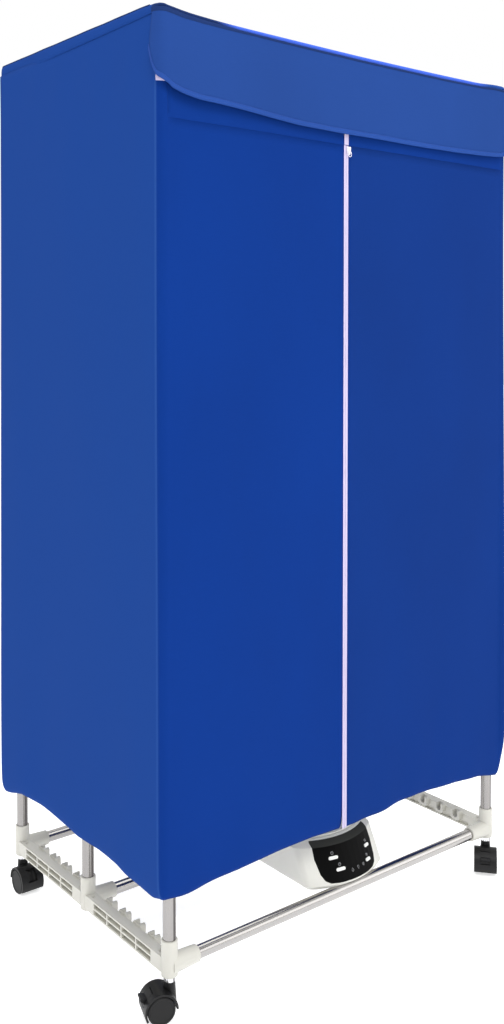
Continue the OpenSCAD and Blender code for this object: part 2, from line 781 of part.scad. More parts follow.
module heater_housing() {
    color(ivory) heater_place() {
        difference() {
            intersection() {
                union() {
                    heater_form(0);
                    translate([0, 0, heater_h - 1]) linear_extrude(deck_step + 1)
                        polygon(heater_outline(heater_h, deck_inset));
                }
                translate([-heater_w, -2 * heater_r, heater_base_h])
                    cube([2 * heater_w, 4 * heater_r, 2 * heater_h]);
            }
            difference() {
                heater_form(heater_wall);
                difference() {
                    panel_prism(pad_grow);
                    for (drop = [0, pad_wall]) translate([0, 0, -drop]) heater_form(pad_wall);
                }
            }
            difference() {
                panel_prism(push_fit);
                heater_form(panel_t - panel_proud + push_fit);
            }
            cylinder(d = outlet_d, h = 2 * heater_h);
            translate([0, 0, heater_h + deck_step - grille_t])
                cylinder(d = outlet_d + 2 * grille_ring_w, h = heater_h);
            for (spot = BUTTONS) on_front(spot) button_slot(spot, push_fit, 2 * pad_wall, 4);
            translate([gland_x, heater_d - heater_r, gland_z]) rotate([90, 0, 0])
                cylinder(d = gland_d + 2 * push_fit, h = 4 * heater_wall, center = true);
        }
        for (x = [-1, 1], y = [-1, 1]) on_front([0, board_mid])
            translate([x * (board_w / 2 - 8), y * (board_h / 2 - 3), -board_behind + eps])
            cylinder(r = post_r, h = board_behind - post_top, $fn = 24);
    }
}

module heater_panel() {
    color(black) heater_place() difference() {
        intersection() {
            heater_form(-panel_proud);
            panel_prism(0);
        }
        heater_form(panel_t - panel_proud);
        for (spot = BUTTONS) on_front(spot) button_slot(spot, push_fit, 2 * pad_wall, 4);
    }
}

module button(i) {
    spot = BUTTONS[i];
    color(white) heater_place() on_front(spot) {
        button_slot(spot, 0, button_seat, panel_proud + button_proud);
        translate([0, 0, -button_seat]) button_slot(spot, button_flange, button_flange_t, 0);
    }
}

module heater_grille() {
    outer = outlet_d + 2 * grille_ring_w - 2 * push_fit;
    pitch = outlet_d / grille_slats;
    slit = 0.6 * pitch;
    color(ivory) heater_place() translate([0, 0, heater_h + deck_step - grille_t]) difference() {
        cylinder(d = outer, h = grille_t);
        for (k = [0 : grille_slats - 1], side = [-1, 1]) let (
            y = (k + 0.5) * pitch - outlet_d / 2,
            half = sqrt(pow(outlet_d / 2, 2) - pow(abs(y) + pitch / 2, 2) * 0.98))
            if (half > pitch) translate([side > 0 ? grille_spine : -half, y - slit / 2, -1])
                cube([half - grille_spine, slit, grille_t + 2]);
    }
}

module heater_element() {
    leg_h = heater_h - heater_wall - push_fit - element_z;
    color("silver") heater_place() translate([0, 0, element_z]) {
        difference() {
            translate([-element_w / 2, -element_d / 2, 0]) cube([element_w, element_d, element_t]);
            for (k = [0 : fin_count - 1]) let (slot = (element_w - 8) / fin_count)
                translate([-element_w / 2 + 4 + (k + 0.15) * slot, -element_d / 2 + 5, -1])
                cube([0.7 * slot, element_d - 10, element_t + 2]);
        }
        for (x = [-1, 1], y = [-1, 1]) translate([x * (element_w / 2 - 2), y * (element_d / 2 + 1), 0])
            cylinder(r = post_r, h = leg_h);
    }
}

// Centrifugal fan: a hub and a back plate with blades that curve back from it
module heater_fan() {
    blade_r = 34;
    blade_t = 1.4;
    color("dimgray") heater_place() translate([0, 0, fan_z]) difference() {
        union() {
            cylinder(r = fan_r, h = 1.6);
            cylinder(r = fan_hub_r, h = fan_h);
            linear_extrude(fan_h) for (k = [0 : blade_count - 1])
                rotate(k * 360 / blade_count) intersection() {
                difference() {
                    translate([fan_hub_r + 4, blade_r]) circle(r = blade_r);
                    translate([fan_hub_r + 4, blade_r]) circle(r = blade_r - blade_t);
                }
                translate([fan_hub_r - 2, -1]) square([fan_r - fan_hub_r - 2, blade_r]);
                circle(r = fan_r - 1);
            }
        }
        translate([0, 0, -1]) cylinder(d = shaft_d + 2 * push_fit, h = fan_h - 3);
    }
}

module heater_motor() {
    color("gray") heater_place() translate([0, 0, motor_z]) {
        cylinder(r = motor_r, h = motor_h);
        cylinder(d = shaft_d, h = motor_h + fan_h - 6);
    }
}

module heater_board() {
    color("darkgreen") heater_place() {
        on_front([0, board_mid]) translate([0, 0, -board_behind - board_t / 2])
            cube([board_w, board_h, board_t], center = true);
        for (spot = BUTTONS) let (
            top = button_seat + button_flange_t + button_travel + push_fit,
            r = heater_r - heater_lean * spot[1] / heater_h,
            back = board_behind - r + sqrt(r * r - spot[0] * spot[0]))
            on_front(spot) translate([-switch_w / 2, -switch_w / 2, -back - board_t / 2])
            cube([switch_w, switch_w, back + board_t / 2 - top]);
    }
}

module heater_cord_gland() {
    rear = heater_d - heater_r;
    color(black) heater_place() translate([gland_x, rear + gland_flange, gland_z])
        rotate([90, 0, 0]) difference() {
        union() {
            cylinder(d = gland_d + 4, h = gland_flange - push_fit);
            cylinder(d = gland_d, h = gland_flange + 2 * heater_wall);
        }
        translate([0, 0, -1]) cylinder(d = gland_d - 5, h = 20);
    }
}

module button_power() { button(0); }
module button_timer() { button(1); }
module button_heat() { button(2); }
module button_mode() { button(3); }

// Chrome stems: a pin in each end joint and its caster, with a collar between them
module caster_stems() {
    color("silver") for (spot = CASTERS) translate([spot[0] * half_w, spot[1] * half_d, 0]) {
        translate([0, 0, stem_low]) cylinder(d = stem_d, h = base_z + stem_depth - stem_low);
        translate([0, 0, base_z - collar_h]) cylinder(r = collar_r, h = collar_h);
    }
}

module caster_body_front_left() { color(black) caster_place(0) caster_body_shape(); }
module caster_body_front_right() { color(black) caster_place(1) caster_body_shape(); }
module caster_body_rear_left() { color(black) caster_place(2) caster_body_shape(); }
module caster_body_rear_right() { color(black) caster_place(3) caster_body_shape(); }

module caster_wheel_front_left_a() { color(black) caster_place(0) caster_wheel_shape(1); }
module caster_wheel_front_left_b() { color(black) caster_place(0) caster_wheel_shape(-1); }
module caster_wheel_front_right_a() { color(black) caster_place(1) caster_wheel_shape(1); }
module caster_wheel_front_right_b() { color(black) caster_place(1) caster_wheel_shape(-1); }
module caster_wheel_rear_left_a() { color(black) caster_place(2) caster_wheel_shape(1); }
module caster_wheel_rear_left_b() { color(black) caster_place(2) caster_wheel_shape(-1); }
module caster_wheel_rear_right_a() { color(black) caster_place(3) caster_wheel_shape(1); }
module caster_wheel_rear_right_b() { color(black) caster_place(3) caster_wheel_shape(-1); }

module caster_brake_front_left() { color(black) caster_place(0) caster_brake_shape(); }
module caster_brake_front_right() { color(black) caster_place(1) caster_brake_shape(); }

base_joints_front();
base_joints_middle();
base_joints_rear();
mid_joints();
top_joints();
uprights_front();
uprights_middle();
uprights_rear();
base_cross_tube_front();
base_cross_tube_middle();
base_cross_tube_rear();
upper_cross_tubes();
side_beam_front_left();
side_beam_rear_left();
side_beam_front_right();
side_beam_rear_right();
mid_side_beams();
top_side_beams();
hanging_rods_mid();
hanging_rods_top();
cover_roof();
cover_side_left();
cover_side_right();
cover_back();
cover_header();
cover_door_left();
cover_door_right();
cover_flap();
zip_tape_left();
zip_tape_right();
zip_slider();
header_zip();
heater_base();
heater_housing();
heater_panel();
heater_grille();
heater_element();
heater_fan();
heater_motor();
heater_board();
heater_cord_gland();
button_power();
button_timer();
button_heat();
button_mode();
caster_stems();
caster_body_front_left();
caster_body_front_right();
caster_body_rear_left();
caster_body_rear_right();
caster_wheel_front_left_a();
caster_wheel_front_left_b();
caster_wheel_front_right_a();
caster_wheel_front_right_b();
caster_wheel_rear_left_a();
caster_wheel_rear_left_b();
caster_wheel_rear_right_a();
caster_wheel_rear_right_b();
caster_brake_front_left();
caster_brake_front_right();
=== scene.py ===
import math

import bmesh
import bpy
import numpy as np
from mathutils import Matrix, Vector


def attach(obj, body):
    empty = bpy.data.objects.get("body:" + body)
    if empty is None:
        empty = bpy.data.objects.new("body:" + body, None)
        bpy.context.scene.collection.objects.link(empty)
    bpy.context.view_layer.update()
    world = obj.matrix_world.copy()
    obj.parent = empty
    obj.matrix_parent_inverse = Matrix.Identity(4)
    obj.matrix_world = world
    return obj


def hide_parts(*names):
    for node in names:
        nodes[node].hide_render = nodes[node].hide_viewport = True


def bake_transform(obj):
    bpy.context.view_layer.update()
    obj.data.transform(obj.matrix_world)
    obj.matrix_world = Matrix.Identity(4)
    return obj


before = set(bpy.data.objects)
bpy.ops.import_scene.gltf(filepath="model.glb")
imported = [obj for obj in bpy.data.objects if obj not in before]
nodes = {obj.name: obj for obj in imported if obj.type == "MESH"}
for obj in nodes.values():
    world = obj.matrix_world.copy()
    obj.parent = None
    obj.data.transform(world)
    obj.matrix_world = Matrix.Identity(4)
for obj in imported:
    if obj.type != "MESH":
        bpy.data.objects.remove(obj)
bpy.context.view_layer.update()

MM = 0.001

# ---------- sizes shared with part.scad, in millimetres ----------
# half width and half depth of the cover, and the radius of its upright corners
COVER_HW, COVER_HD, CORNER = 370.0, 248.0, 14.0
# the same for the flat faces between the corners
FLAT_HW, FLAT_HD = COVER_HW - CORNER, COVER_HD - CORNER
WALL_TOP, DOOR_TOP = 1407.0, 1260.0
# upright zip: its place and half its width; cross zip: its height
ZIP_X, ZIP_HALF = -24.0, 5.0
HEADER_ZIP_Z = 1312.0
FLAP_HINGE_Y, FLAP_HINGE_Z = -249.4, 1408.1
# heater: its place, height, front radius at the base and how far its front leans back
HEATER = (12.0, -85.0, 83.7)
HEATER_H, HEATER_R, HEATER_LEAN = 66.0, 155.0, 30.0

# ---------- sizes of the scene alone, in millimetres ----------
# thickness of the cloth; front of the doors and of the header, where the zips are sewn on
CLOTH, TAPE_Y, HEADER_Y = 0.9, -248.15, -248.1
# height of the upright zip's lower end, and how far a zip's teeth stand off its tape
ZIP_LOW, TEETH_LIFT = 185.0, 0.7

# ---------- camera ----------
AZ, PITCH = math.radians(-38.37), math.radians(1.73)
EYE = (-1.170, -1.460, 0.947)
SENSOR = 36.0
# focal length, height of the picture and height of its optical centre, in pixels of the photograph
FOCAL_PX, FRAME_H, CENTRE_Y = 1062.0, 1024, 378.8
cam_data = bpy.data.cameras.new("camera")
cam = bpy.data.objects.new("camera", cam_data)
bpy.context.scene.collection.objects.link(cam)
cam_data.sensor_width = SENSOR
cam_data.lens = SENSOR * FOCAL_PX / FRAME_H
cam_data.shift_y = (CENTRE_Y - FRAME_H / 2) / FRAME_H
cam_data.clip_start, cam_data.clip_end = 0.05, 60.0
forward = Vector((-math.sin(AZ) * math.cos(PITCH), math.cos(AZ) * math.cos(PITCH), -math.sin(PITCH)))
cam.location = EYE
cam.rotation_mode = "QUATERNION"
cam.rotation_quaternion = forward.to_track_quat("-Z", "Y")
bpy.context.scene.camera = cam


# ---------- material helpers ----------
def new_material(name):
    m = bpy.data.materials.new(name)
    m.use_nodes = True
    nt = m.node_tree
    nt.nodes.clear()
    out = nt.nodes.new("ShaderNodeOutputMaterial")
    bsdf = nt.nodes.new("ShaderNodeBsdfPrincipled")
    nt.links.new(bsdf.outputs["BSDF"], out.inputs["Surface"])
    return m, nt, bsdf


def shader_of(m):
    return next(n for n in m.node_tree.nodes if n.type == "BSDF_PRINCIPLED")


def fill(nt, node, values):
    """Fill a node's inputs by name or number: a socket is linked, anything else is set."""
    for key, value in values.items():
        if isinstance(value, bpy.types.NodeSocket):
            nt.links.new(value, node.inputs[key])
        else:
            node.inputs[key].default_value = value


def coords(nt, scale=(1, 1, 1)):
    """Object coordinates, scaled."""
    place = nt.nodes.new("ShaderNodeTexCoord").outputs["Object"]
    mapping = nt.nodes.new("ShaderNodeMapping")
    fill(nt, mapping, {"Scale": scale, "Vector": place})
    return mapping.outputs["Vector"]


def split(nt, vector):
    """The three components of a vector."""
    parts = nt.nodes.new("ShaderNodeSeparateXYZ")
    nt.links.new(vector, parts.inputs[0])
    return parts.outputs["X"], parts.outputs["Y"], parts.outputs["Z"]


def noise(nt, vector, scale, detail=3.0):
    n = nt.nodes.new("ShaderNodeTexNoise")
    fill(nt, n, {"Vector": vector, "Scale": scale, "Detail": detail, "Roughness": 0.5})
    return n.outputs["Fac"]


def math_node(nt, op, a, b=None, clamp=False):
    n = nt.nodes.new("ShaderNodeMath")
    n.operation = op
    n.use_clamp = clamp
    fill(nt, n, {0: a} if b is None else {0: a, 1: b})
    return n.outputs[0]


def weighted(nt, a, share_a, b, share_b):
    return math_node(nt, "ADD", math_node(nt, "MULTIPLY", a, share_a), math_node(nt, "MULTIPLY", b, share_b))


def rise(nt, value, start, slope):
    """0 up to start, then up to 1 at the given slope."""
    return math_node(nt, "MULTIPLY", math_node(nt, "SUBTRACT", value, start), slope, clamp=True)


def ramp(nt, fac, stops):
    """Colour ramp through stops of (position, colour)."""
    r = nt.nodes.new("ShaderNodeValToRGB")
    stripes = r.color_ramp.elements
    for stripe, (position, colour) in zip(stripes, (stops[0], stops[-1])):
        stripe.position = position
        stripe.color = (*colour, 1)
    for position, colour in stops[1:-1]:
        stripes.new(position).color = (*colour, 1)
    nt.links.new(fac, r.inputs["Fac"])
    return r.outputs["Color"]


def remap(nt, fac, low, high):
    r = nt.nodes.new("ShaderNodeMapRange")
    fill(nt, r, {"Value": fac, "To Min": low, "To Max": high})
    return r.outputs["Result"]


def bump(nt, height, strength, distance):
    b = nt.nodes.new("ShaderNodeBump")
    fill(nt, b, {"Height": height, "Strength": strength, "Distance": distance})
    return b.outputs["Normal"]


def overlay(m, fac, tone, blend="MIX"):
    """Mix a tone into a material's base colour."""
    nt = m.node_tree
    colour = shader_of(m).inputs["Base Color"]
    mix = nt.nodes.new("ShaderNodeMix")
    mix.data_type = "RGBA"
    mix.blend_type = blend
    fill(nt, mix, {0: fac, 6: colour.links[0].from_socket, 7: tone})
    nt.links.new(mix.outputs[2], colour)


def scaled(col, k):
    return tuple(min(1.0, c * k) for c in col)


# ---------- kinds of material ----------
def cloth_material(name, base, level=False, sheen=0.0, rough=0.85):
    """Coated woven cloth: threads about 0.55 mm apart, a soft mottle and a faint coating sheen."""
    m, nt, bsdf = new_material(name)
    x, y, z = split(nt, coords(nt))
    across = x if level else math_node(nt, "ADD", x, y)
    along = y if level else z
    pitch = 2 * math.pi / 0.0011
    warp = math_node(nt, "SINE", math_node(nt, "MULTIPLY", across, pitch))
    weft = math_node(nt, "SINE", math_node(nt, "MULTIPLY", along, pitch))
    weave = math_node(nt, "MULTIPLY", warp, weft)
    cloud = noise(nt, coords(nt, (1, 1, 0.5)), 5.0, 4.0)
    slub = noise(nt, coords(nt, (90, 90, 900)), 1.0, 2.0)
    shades = [(0.3, scaled(base, 0.93)), (0.5, base), (0.72, scaled(base, 1.07))]
    fill(nt, bsdf, {"Base Color": ramp(nt, weighted(nt, cloud, 0.75, slub, 0.25), shades),
                    "Roughness": remap(nt, cloud, rough - 0.06, rough + 0.06),
                    "Sheen Weight": sheen, "Sheen Roughness": 0.45, "Specular IOR Level": 0.05,
                    "Normal": bump(nt, weighted(nt, weave, 0.5, slub, 0.6), 0.35, 0.00012)})
    return m


def plastic_material(name, base, rough, grain, coat=0.0, mottle=0.05):
    """Moulded plastic: a fine eroded grain, faint flow mottling and roughness that varies with it."""
    m, nt, bsdf = new_material(name)
    v = coords(nt)
    cloud = noise(nt, v, 14.0, 4.0)
    shades = [(0.3, scaled(base, 1 - mottle)), (0.7, scaled(base, 1 + mottle))]
    fill(nt, bsdf, {"Base Color": ramp(nt, cloud, shades),
                    "Roughness": remap(nt, cloud, rough - 0.05, rough + 0.07),
                    "Coat Weight": coat, "Coat Roughness": 0.12,
                    "Normal": bump(nt, noise(nt, v, 1800.0, 2.0), grain, 0.00006)})
    return m


def painted_reflection_line(m):
    """Painted reflection: a narrow darker line coloured down the front of an upright, where its chrome would
    mirror the dark room.
    """
    nt = m.node_tree
    x, y, _ = split(nt, nt.nodes.new("ShaderNodeNewGeometry").outputs["Normal"])
    stops = [(0.0, (1, 1, 1)), (0.962, (1, 1, 1)), (0.985, (0.42, 0.40, 0.40)), (1.0, (0.25, 0.24, 0.24))]
    overlay(m, 1.0, ramp(nt, weighted(nt, x, 0.25, y, -0.968), stops), "MULTIPLY")


def metal_material(name, base, rough, axis):
    """Drawn metal: fine scratches that run along the given axis."""
    m, nt, bsdf = new_material(name)
    scale = [1400.0, 1400.0, 1400.0]
    scale["XYZ".index(axis)] = 9.0
    scratch = noise(nt, coords(nt, tuple(scale)), 1.0)
    cloud = noise(nt, coords(nt), 9.0)
    shades = [(0.3, scaled(base, 0.94)), (0.7, scaled(base, 1.04))]
    fill(nt, bsdf, {"Metallic": 1.0, "Base Color": ramp(nt, cloud, shades),
                    "Roughness": remap(nt, scratch, rough - 0.07, rough + 0.1),
                    "Normal": bump(nt, scratch, 0.12, 0.00004)})
    # the uprights get a painted reflection line
    if axis == "Z":
        painted_reflection_line(m)
    return m


# ---------- the cover's materials ----------
BLUE = (0.0030, 0.0300, 0.2000)
RIGHT_BLUE = (0.0044, 0.0297, 0.1800)
# painted light: the same cloth coloured lighter for the sides, which face the key light; the back and the
# roof take this tone too
SIDE_BLUE = (0.0087, 0.0475, 0.2380)
# painted shade at the roof's front left corner; also the dark tone of the binding tape, partly painted shade
BINDING_AND_SHADE_BLUE = (0.0120, 0.0300, 0.1150)
# lighter strip down each front corner: partly a seam, partly a painted highlight where the corner catches
# the light
SEAM_AND_HIGHLIGHT_BLUE = (0.0160, 0.0620, 0.2600)
# painted highlight along the roof's front roll
PAINTED_HIGHLIGHT_BLUE = (0.0560, 0.1290, 0.6400)
# painted highlight fading out at the roof's front right corner
FADED_HIGHLIGHT_BLUE = (0.0200, 0.0700, 0.3000)


def wall_material(name, front_base):
    """Cloth of one wall, with painted light: its side is coloured lighter than its front, as the key light
    falls on it, and a lighter strip down the front corner is partly a seam and partly a painted highlight.
    """
    m = cloth_material(name, front_base)
    nt = m.node_tree
    y = split(nt, coords(nt))[1]
    stops = [(0.25, front_base), (0.42, SEAM_AND_HIGHLIGHT_BLUE), (0.60, SEAM_AND_HIGHLIGHT_BLUE), (0.80, SIDE_BLUE)]
    overlay(m, rise(nt, y, -0.2402, 4000.0), ramp(nt, rise(nt, y, -0.242, 100.0), stops))
    return m


def roof_material():
    """Roof cloth with painted light along its front roll: a painted highlight where it rolls over the front
    tube, painted shade at the front left corner, and the highlight fading at the front right corner.
    """
    m = cloth_material("cover_cloth_roof", SIDE_BLUE, level=True)
    nt = m.node_tree
    x, y, _ = split(nt, coords(nt))
    front = math_node(nt, "MULTIPLY", math_node(nt, "SUBTRACT", -0.228, y), 200.0, clamp=True)
    stops = [(0.0, BINDING_AND_SHADE_BLUE), (0.14, BINDING_AND_SHADE_BLUE), (0.19, PAINTED_HIGHLIGHT_BLUE), (0.87, PAINTED_HIGHLIGHT_BLUE),
             (0.92, FADED_HIGHLIGHT_BLUE)]
    overlay(m, front, ramp(nt, rise(nt, x, -0.380, 1 / 0.760), stops))
    return m


cloth_front = cloth_material("cover_cloth_front", BLUE)
# painted light: a lighter copy of the front cloth for the sides and the back
cloth_side = cloth_material("cover_cloth_side", SIDE_BLUE)
cloth_wall_left = wall_material("cover_cloth_wall_left", BLUE)
cloth_wall_right = wall_material("cover_cloth_wall_right", RIGHT_BLUE)
# painted light: the flap's cloth is coloured lighter than the doors', as it leans out into the light from
# above
cloth_flap = cloth_material("cover_cloth_flap", (0.0149, 0.0515, 0.2230))
# painted highlight: the turned hem of the same cloth is coloured lighter still
cloth_hem = cloth_material("cover_cloth_hem", (0.0195, 0.0650, 0.2800))
# binding tape: its dark tone is partly its own and partly painted shade along the seams under the roof's
# edge
cloth_edge = cloth_material("cover_binding_and_shade", BINDING_AND_SHADE_BLUE)
cloth_roof = roof_material()
thread_blue = plastic_material("thread_blue", (0.012, 0.045, 0.26), 0.7, 0.8)
zip_cloth = cloth_material("zip_cloth", (0.54, 0.48, 0.67), sheen=0.1, rough=0.6)
zip_teeth = plastic_material("zip_teeth", (0.60, 0.54, 0.72), 0.4, 0.2)
zip_metal = plastic_material("zip_enamel", (0.80, 0.78, 0.84), 0.28, 0.2, 0.3)

# ---------- materials of the hard pieces ----------
ivory = plastic_material("ivory_plastic", (0.56, 0.550, 0.497), 0.42, 0.5, 0.0, 0.03)
heater_ivory = plastic_material("heater_plastic", (0.72, 0.715, 0.660), 0.36, 0.4, 0.1, 0.03)
button_white = plastic_material("button_plastic", (0.80, 0.80, 0.77), 0.3, 0.2, 0.2, 0.02)
panel_black = plastic_material("panel_plastic", (0.0035, 0.0035, 0.0035), 0.4, 0.06, 0.0)
icon_grey = plastic_material("icon_ink", (0.30, 0.30, 0.31), 0.5, 0.2)
caster_black = plastic_material("caster_plastic", (0.0085, 0.0085, 0.009), 0.42, 0.8, 0.0, 0.12)
wheel_black = plastic_material("wheel_rubber", (0.0120, 0.0120, 0.0124), 0.55, 0.9, 0.0, 0.12)
rubber = plastic_material("gland_rubber", (0.02, 0.02, 0.02), 0.75, 0.9)
fan_black = plastic_material("fan_plastic", (0.03, 0.03, 0.032), 0.5, 0.5)
board_green = plastic_material("board_lacquer", (0.01, 0.06, 0.025), 0.3, 0.2, 0.3)
# painted shade: the uprights are coloured darker than the cross tubes of the same steel
tube_z = metal_material("tube_steel_upright", (0.320, 0.307, 0.297), 0.24, "Z")
tube_x = metal_material("tube_steel_cross", (0.400, 0.387, 0.375), 0.2, "X")
rod_x = metal_material("rod_steel", (0.66, 0.66, 0.68), 0.28, "X")
chrome = metal_material("stem_chrome", (0.72, 0.72, 0.74), 0.14, "Z")
alu = metal_material("element_fins", (0.66, 0.66, 0.66), 0.4, "Z")
motor_grey = metal_material("motor_steel", (0.35, 0.35, 0.37), 0.42, "Z")

for material, specular in ((caster_black, 0.22), (wheel_black, 0.22), (panel_black, 0.04)):
    shader_of(material).inputs["Specular IOR Level"].default_value = specular

# painted light: the bevel along the top of the panel, which faces up into the light, is coloured greyer than
# its face
panel_tree = panel_black.node_tree
bevel_painted_light = rise(panel_tree, split(panel_tree, coords(panel_tree))[2], 0.1402, 900.0)
overlay(panel_black, bevel_painted_light, (0.042, 0.043, 0.040, 1))

FINISHES = [
    ("base_joints", ivory), ("mid_joints", ivory), ("top_joints", ivory), ("side_beam", ivory),
    ("mid_side_beams", ivory), ("top_side_beams", ivory), ("uprights", tube_z),
    ("base_cross_tube", tube_x), ("upper_cross_tubes", tube_x), ("hanging_rods", rod_x),
    ("cover_", cloth_side), ("zip_", zip_cloth), ("header_zip", zip_cloth),
    ("heater_base", heater_ivory), ("heater_housing", heater_ivory), ("heater_grille", heater_ivory),
    ("heater_panel", panel_black), ("heater_element", alu), ("heater_fan", fan_black),
    ("heater_motor", motor_grey), ("heater_board", board_green), ("heater_cord_gland", rubber),
    ("button_", button_white), ("caster_stems", chrome), ("caster_body", caster_black),
    ("caster_wheel", wheel_black), ("caster_brake", caster_black),
]
for start, finish in FINISHES:
    for name, obj in nodes.items():
        if name.startswith(start):
            obj.data.materials.clear()
            obj.data.materials.append(finish)


# ---------- mesh helpers (points in millimetres) ----------
def new_object(name, data):
    obj = bpy.data.objects.new(name, data)
    bpy.context.scene.collection.objects.link(obj)
    return obj


def mesh_object(name, verts, faces, mat, smooth=True):
    me = bpy.data.meshes.new(name)
    me.from_pydata([tuple(float(c) * MM for c in p) for p in verts], [], [tuple(f) for f in faces])
    me.validate()
    me.update()
    for p in me.polygons:
        p.use_smooth = smooth
    obj = new_object(name, me)
    obj.data.materials.append(mat)
    return obj


def grid_faces(rows, cols, keep=None, closed=False):
    """Faces of a grid; keep says which of them stay, closed joins the last column to the first."""
    faces = []
    last = cols if closed else cols - 1
    for i in range(rows - 1):
        for j in range(last):
            if keep is not None and not keep[i, j]:
                continue
            k = (j + 1) % cols
            faces.append((i * cols + j, i * cols + k, (i + 1) * cols + k, (i + 1) * cols + j))
    return faces


def grid_object(name, points, mat, thickness, keep=None, closed=False):
    """Cloth from a rows x cols x 3 array; faces look along the side where columns run left to right."""
    rows, cols = points.shape[:2]
    flat = points.reshape(-1, 3)
    faces = grid_faces(rows, cols, keep, closed)
    used = sorted({v for f in faces for v in f})
    index = {v: k for k, v in enumerate(used)}
    obj = mesh_object(name, flat[used], [[index[v] for v in f] for f in faces], mat)
    if thickness:
        solid = obj.modifiers.new("thickness", "SOLIDIFY")
        solid.thickness = thickness * MM
        solid.offset = -1.0
    return obj


def tube_object(name, path, radius, mat, sides=8, closed=False):
    """Round tube along a path of points."""
    path = np.asarray(path, float)
    n = len(path)
    if closed:
        tangent = np.roll(path, -1, 0) - np.roll(path, 1, 0)
    else:
        tangent = np.gradient(path, axis=0)
    tangent /= np.linalg.norm(tangent, axis=1)[:, None]
    side = np.cross(tangent, np.array([0.0, 0.0, 1.0]))
    weak = np.linalg.norm(side, axis=1) < 0.2
    side[weak] = np.cross(tangent[weak], np.array([1.0, 0.0, 0.0]))
    side /= np.linalg.norm(side, axis=1)[:, None]
    third = np.cross(side, tangent)
    angles = np.arange(sides) * 2 * math.pi / sides
    ring = np.cos(angles)[:, None] * side[:, None, :] + np.sin(angles)[:, None] * third[:, None, :]
    verts = (path[:, None, :] + radius * ring).reshape(-1, 3)
    faces = []
    for i in range(n if closed else n - 1):
        here, ahead = i * sides, ((i + 1) % n) * sides
        for k in range(sides):
            turn = (k + 1) % sides
            faces.append((here + k, here + turn, ahead + turn, ahead + k))
    if not closed:
        faces.append(tuple(range(sides)))
        faces.append(tuple(reversed(range((n - 1) * sides, n * sides))))
    return mesh_object(name, verts, faces, mat)


def smooth_step(t):
    """0 up to t = 0, 1 from t = 1, with a soft start and end between."""
    t = np.clip(t, 0.0, 1.0)
    return t * t * (3 - 2 * t)


def run_along(path):
    """Distance along a path to each of its points."""
    return np.concatenate([[0], np.cumsum(np.linalg.norm(np.diff(path, axis=0), axis=1))])


def point_at(s, run, table):
    """Row of a table at distance s, worked out between the rows that it has."""
    return np.array([np.interp(s, run, column) for column in table.T])


def stations(*stretches):
    """Values along stretches of (start, end, count), each of which starts where the last one ends."""
    return np.concatenate([np.linspace(*stretch)[min(k, 1):] for k, stretch in enumerate(stretches)])


def waves(u, v, seed, count, length_u, length_v):
    """Sum of soft sine waves with seeded directions, about -1 to 1."""
    rng = np.random.default_rng(seed)
    total = np.zeros(np.broadcast(u, v).shape)
    for _ in range(count):
        ku = 2 * math.pi / (length_u * rng.uniform(0.6, 1.7))
        kv = 2 * math.pi / (length_v * rng.uniform(0.6, 1.7)) * rng.choice([-1, 1])
        total = total + rng.uniform(0.5, 1.0) * np.sin(ku * u + kv * v + rng.uniform(0, 2 * math.pi))
    return total / (0.9 * count ** 0.5 * 1.2)


def stitches(name, path, normals):
    """A row of short raised threads along a path on the flap."""
    pitch, length, radius = 3.6, 2.5, 0.22
    run = run_along(path)
    verts, faces = [], []
    for k in range(int(run[-1] / pitch)):
        ends = []
        for s in (k * pitch, k * pitch + length):
            normal = point_at(s, run, normals)
            ends.append((point_at(s, run, path), normal / np.linalg.norm(normal)))
        (p0, n0), (p1, n1) = ends
        d = p1 - p0
        d /= np.linalg.norm(d)
        across = np.cross(d, n0)
        base = len(verts)
        for p, out, crown in ((p0, n0, 0.0), ((p0 + p1) / 2, n0, 1.0), (p1, n1, 0.0)):
            h = radius * (0.35 + 0.9 * crown)
            verts += [p + across * radius, p + out * (h + radius * 0.6)]
            verts += [p - across * radius, p - out * radius]
        for here in (base, base + 4):
            for c in range(4):
                turn = (c + 1) % 4
                faces.append((here + c, here + turn, here + 4 + turn, here + 4 + c))
        faces.append((base + 3, base + 2, base + 1, base))
        faces.append((base + 8, base + 9, base + 10, base + 11))
    obj = mesh_object(name, verts, faces, thread_blue, smooth=False)
    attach(obj, "flap")
    return obj


# ---------- the cover's walls ----------
# height of the wavy hem: (y, z) along a side and (x, z) along the front
HEM_SIDE = np.array([
    (-248, 174.8), (-232, 174.8), (-215, 169.1), (-195, 169.9), (-170, 172.9), (-145, 175.4), (-120, 180.5),
    (-90, 180.5), (-60, 180.2), (-30, 179.1), (0, 178.8), (30, 183.1), (60, 185.1), (90, 187.1),
    (120, 189.3), (150, 189.4), (175, 189.6), (195, 184.9), (215, 178.7), (235, 175.1), (248, 174.2)])
HEM_FRONT = np.array([
    (-372, 174.8), (-356, 176.2), (-340, 173.7), (-325, 172.2), (-305, 172.8), (-280, 175.9), (-250, 178.6),
    (-210, 181.8), (-170, 182.3), (-130, 183.5), (-90, 184.9), (-50, 183.7), (-10, 181.9), (30, 182.7),
    (70, 184.8), (110, 189.2), (150, 190.7), (190, 188.5), (230, 185.6), (270, 183.5), (310, 180.5),
    (345, 173.0), (370, 169.2)])


def hem_at(table, x):
    """Smooth curve through the table's points."""
    xs, zs = table[:, 0], table[:, 1]
    x = np.clip(np.asarray(x, float), xs[0], xs[-1])
    fine = np.linspace(xs[0], xs[-1], 240)
    z = np.interp(fine, xs, zs)
    kernel = np.hanning(11)
    kernel /= kernel.sum()
    padded = np.concatenate([np.full(5, z[0]), z, np.full(5, z[-1])])
    return np.interp(x, fine, np.convolve(padded, kernel, "valid"))


def around(cy, angles):
    """Points round a left corner of the cover, each with its outward normal."""
    return [(-FLAT_HW + CORNER * math.cos(a), cy + CORNER * math.sin(a), math.cos(a), math.sin(a))
            for a in np.radians(angles)]


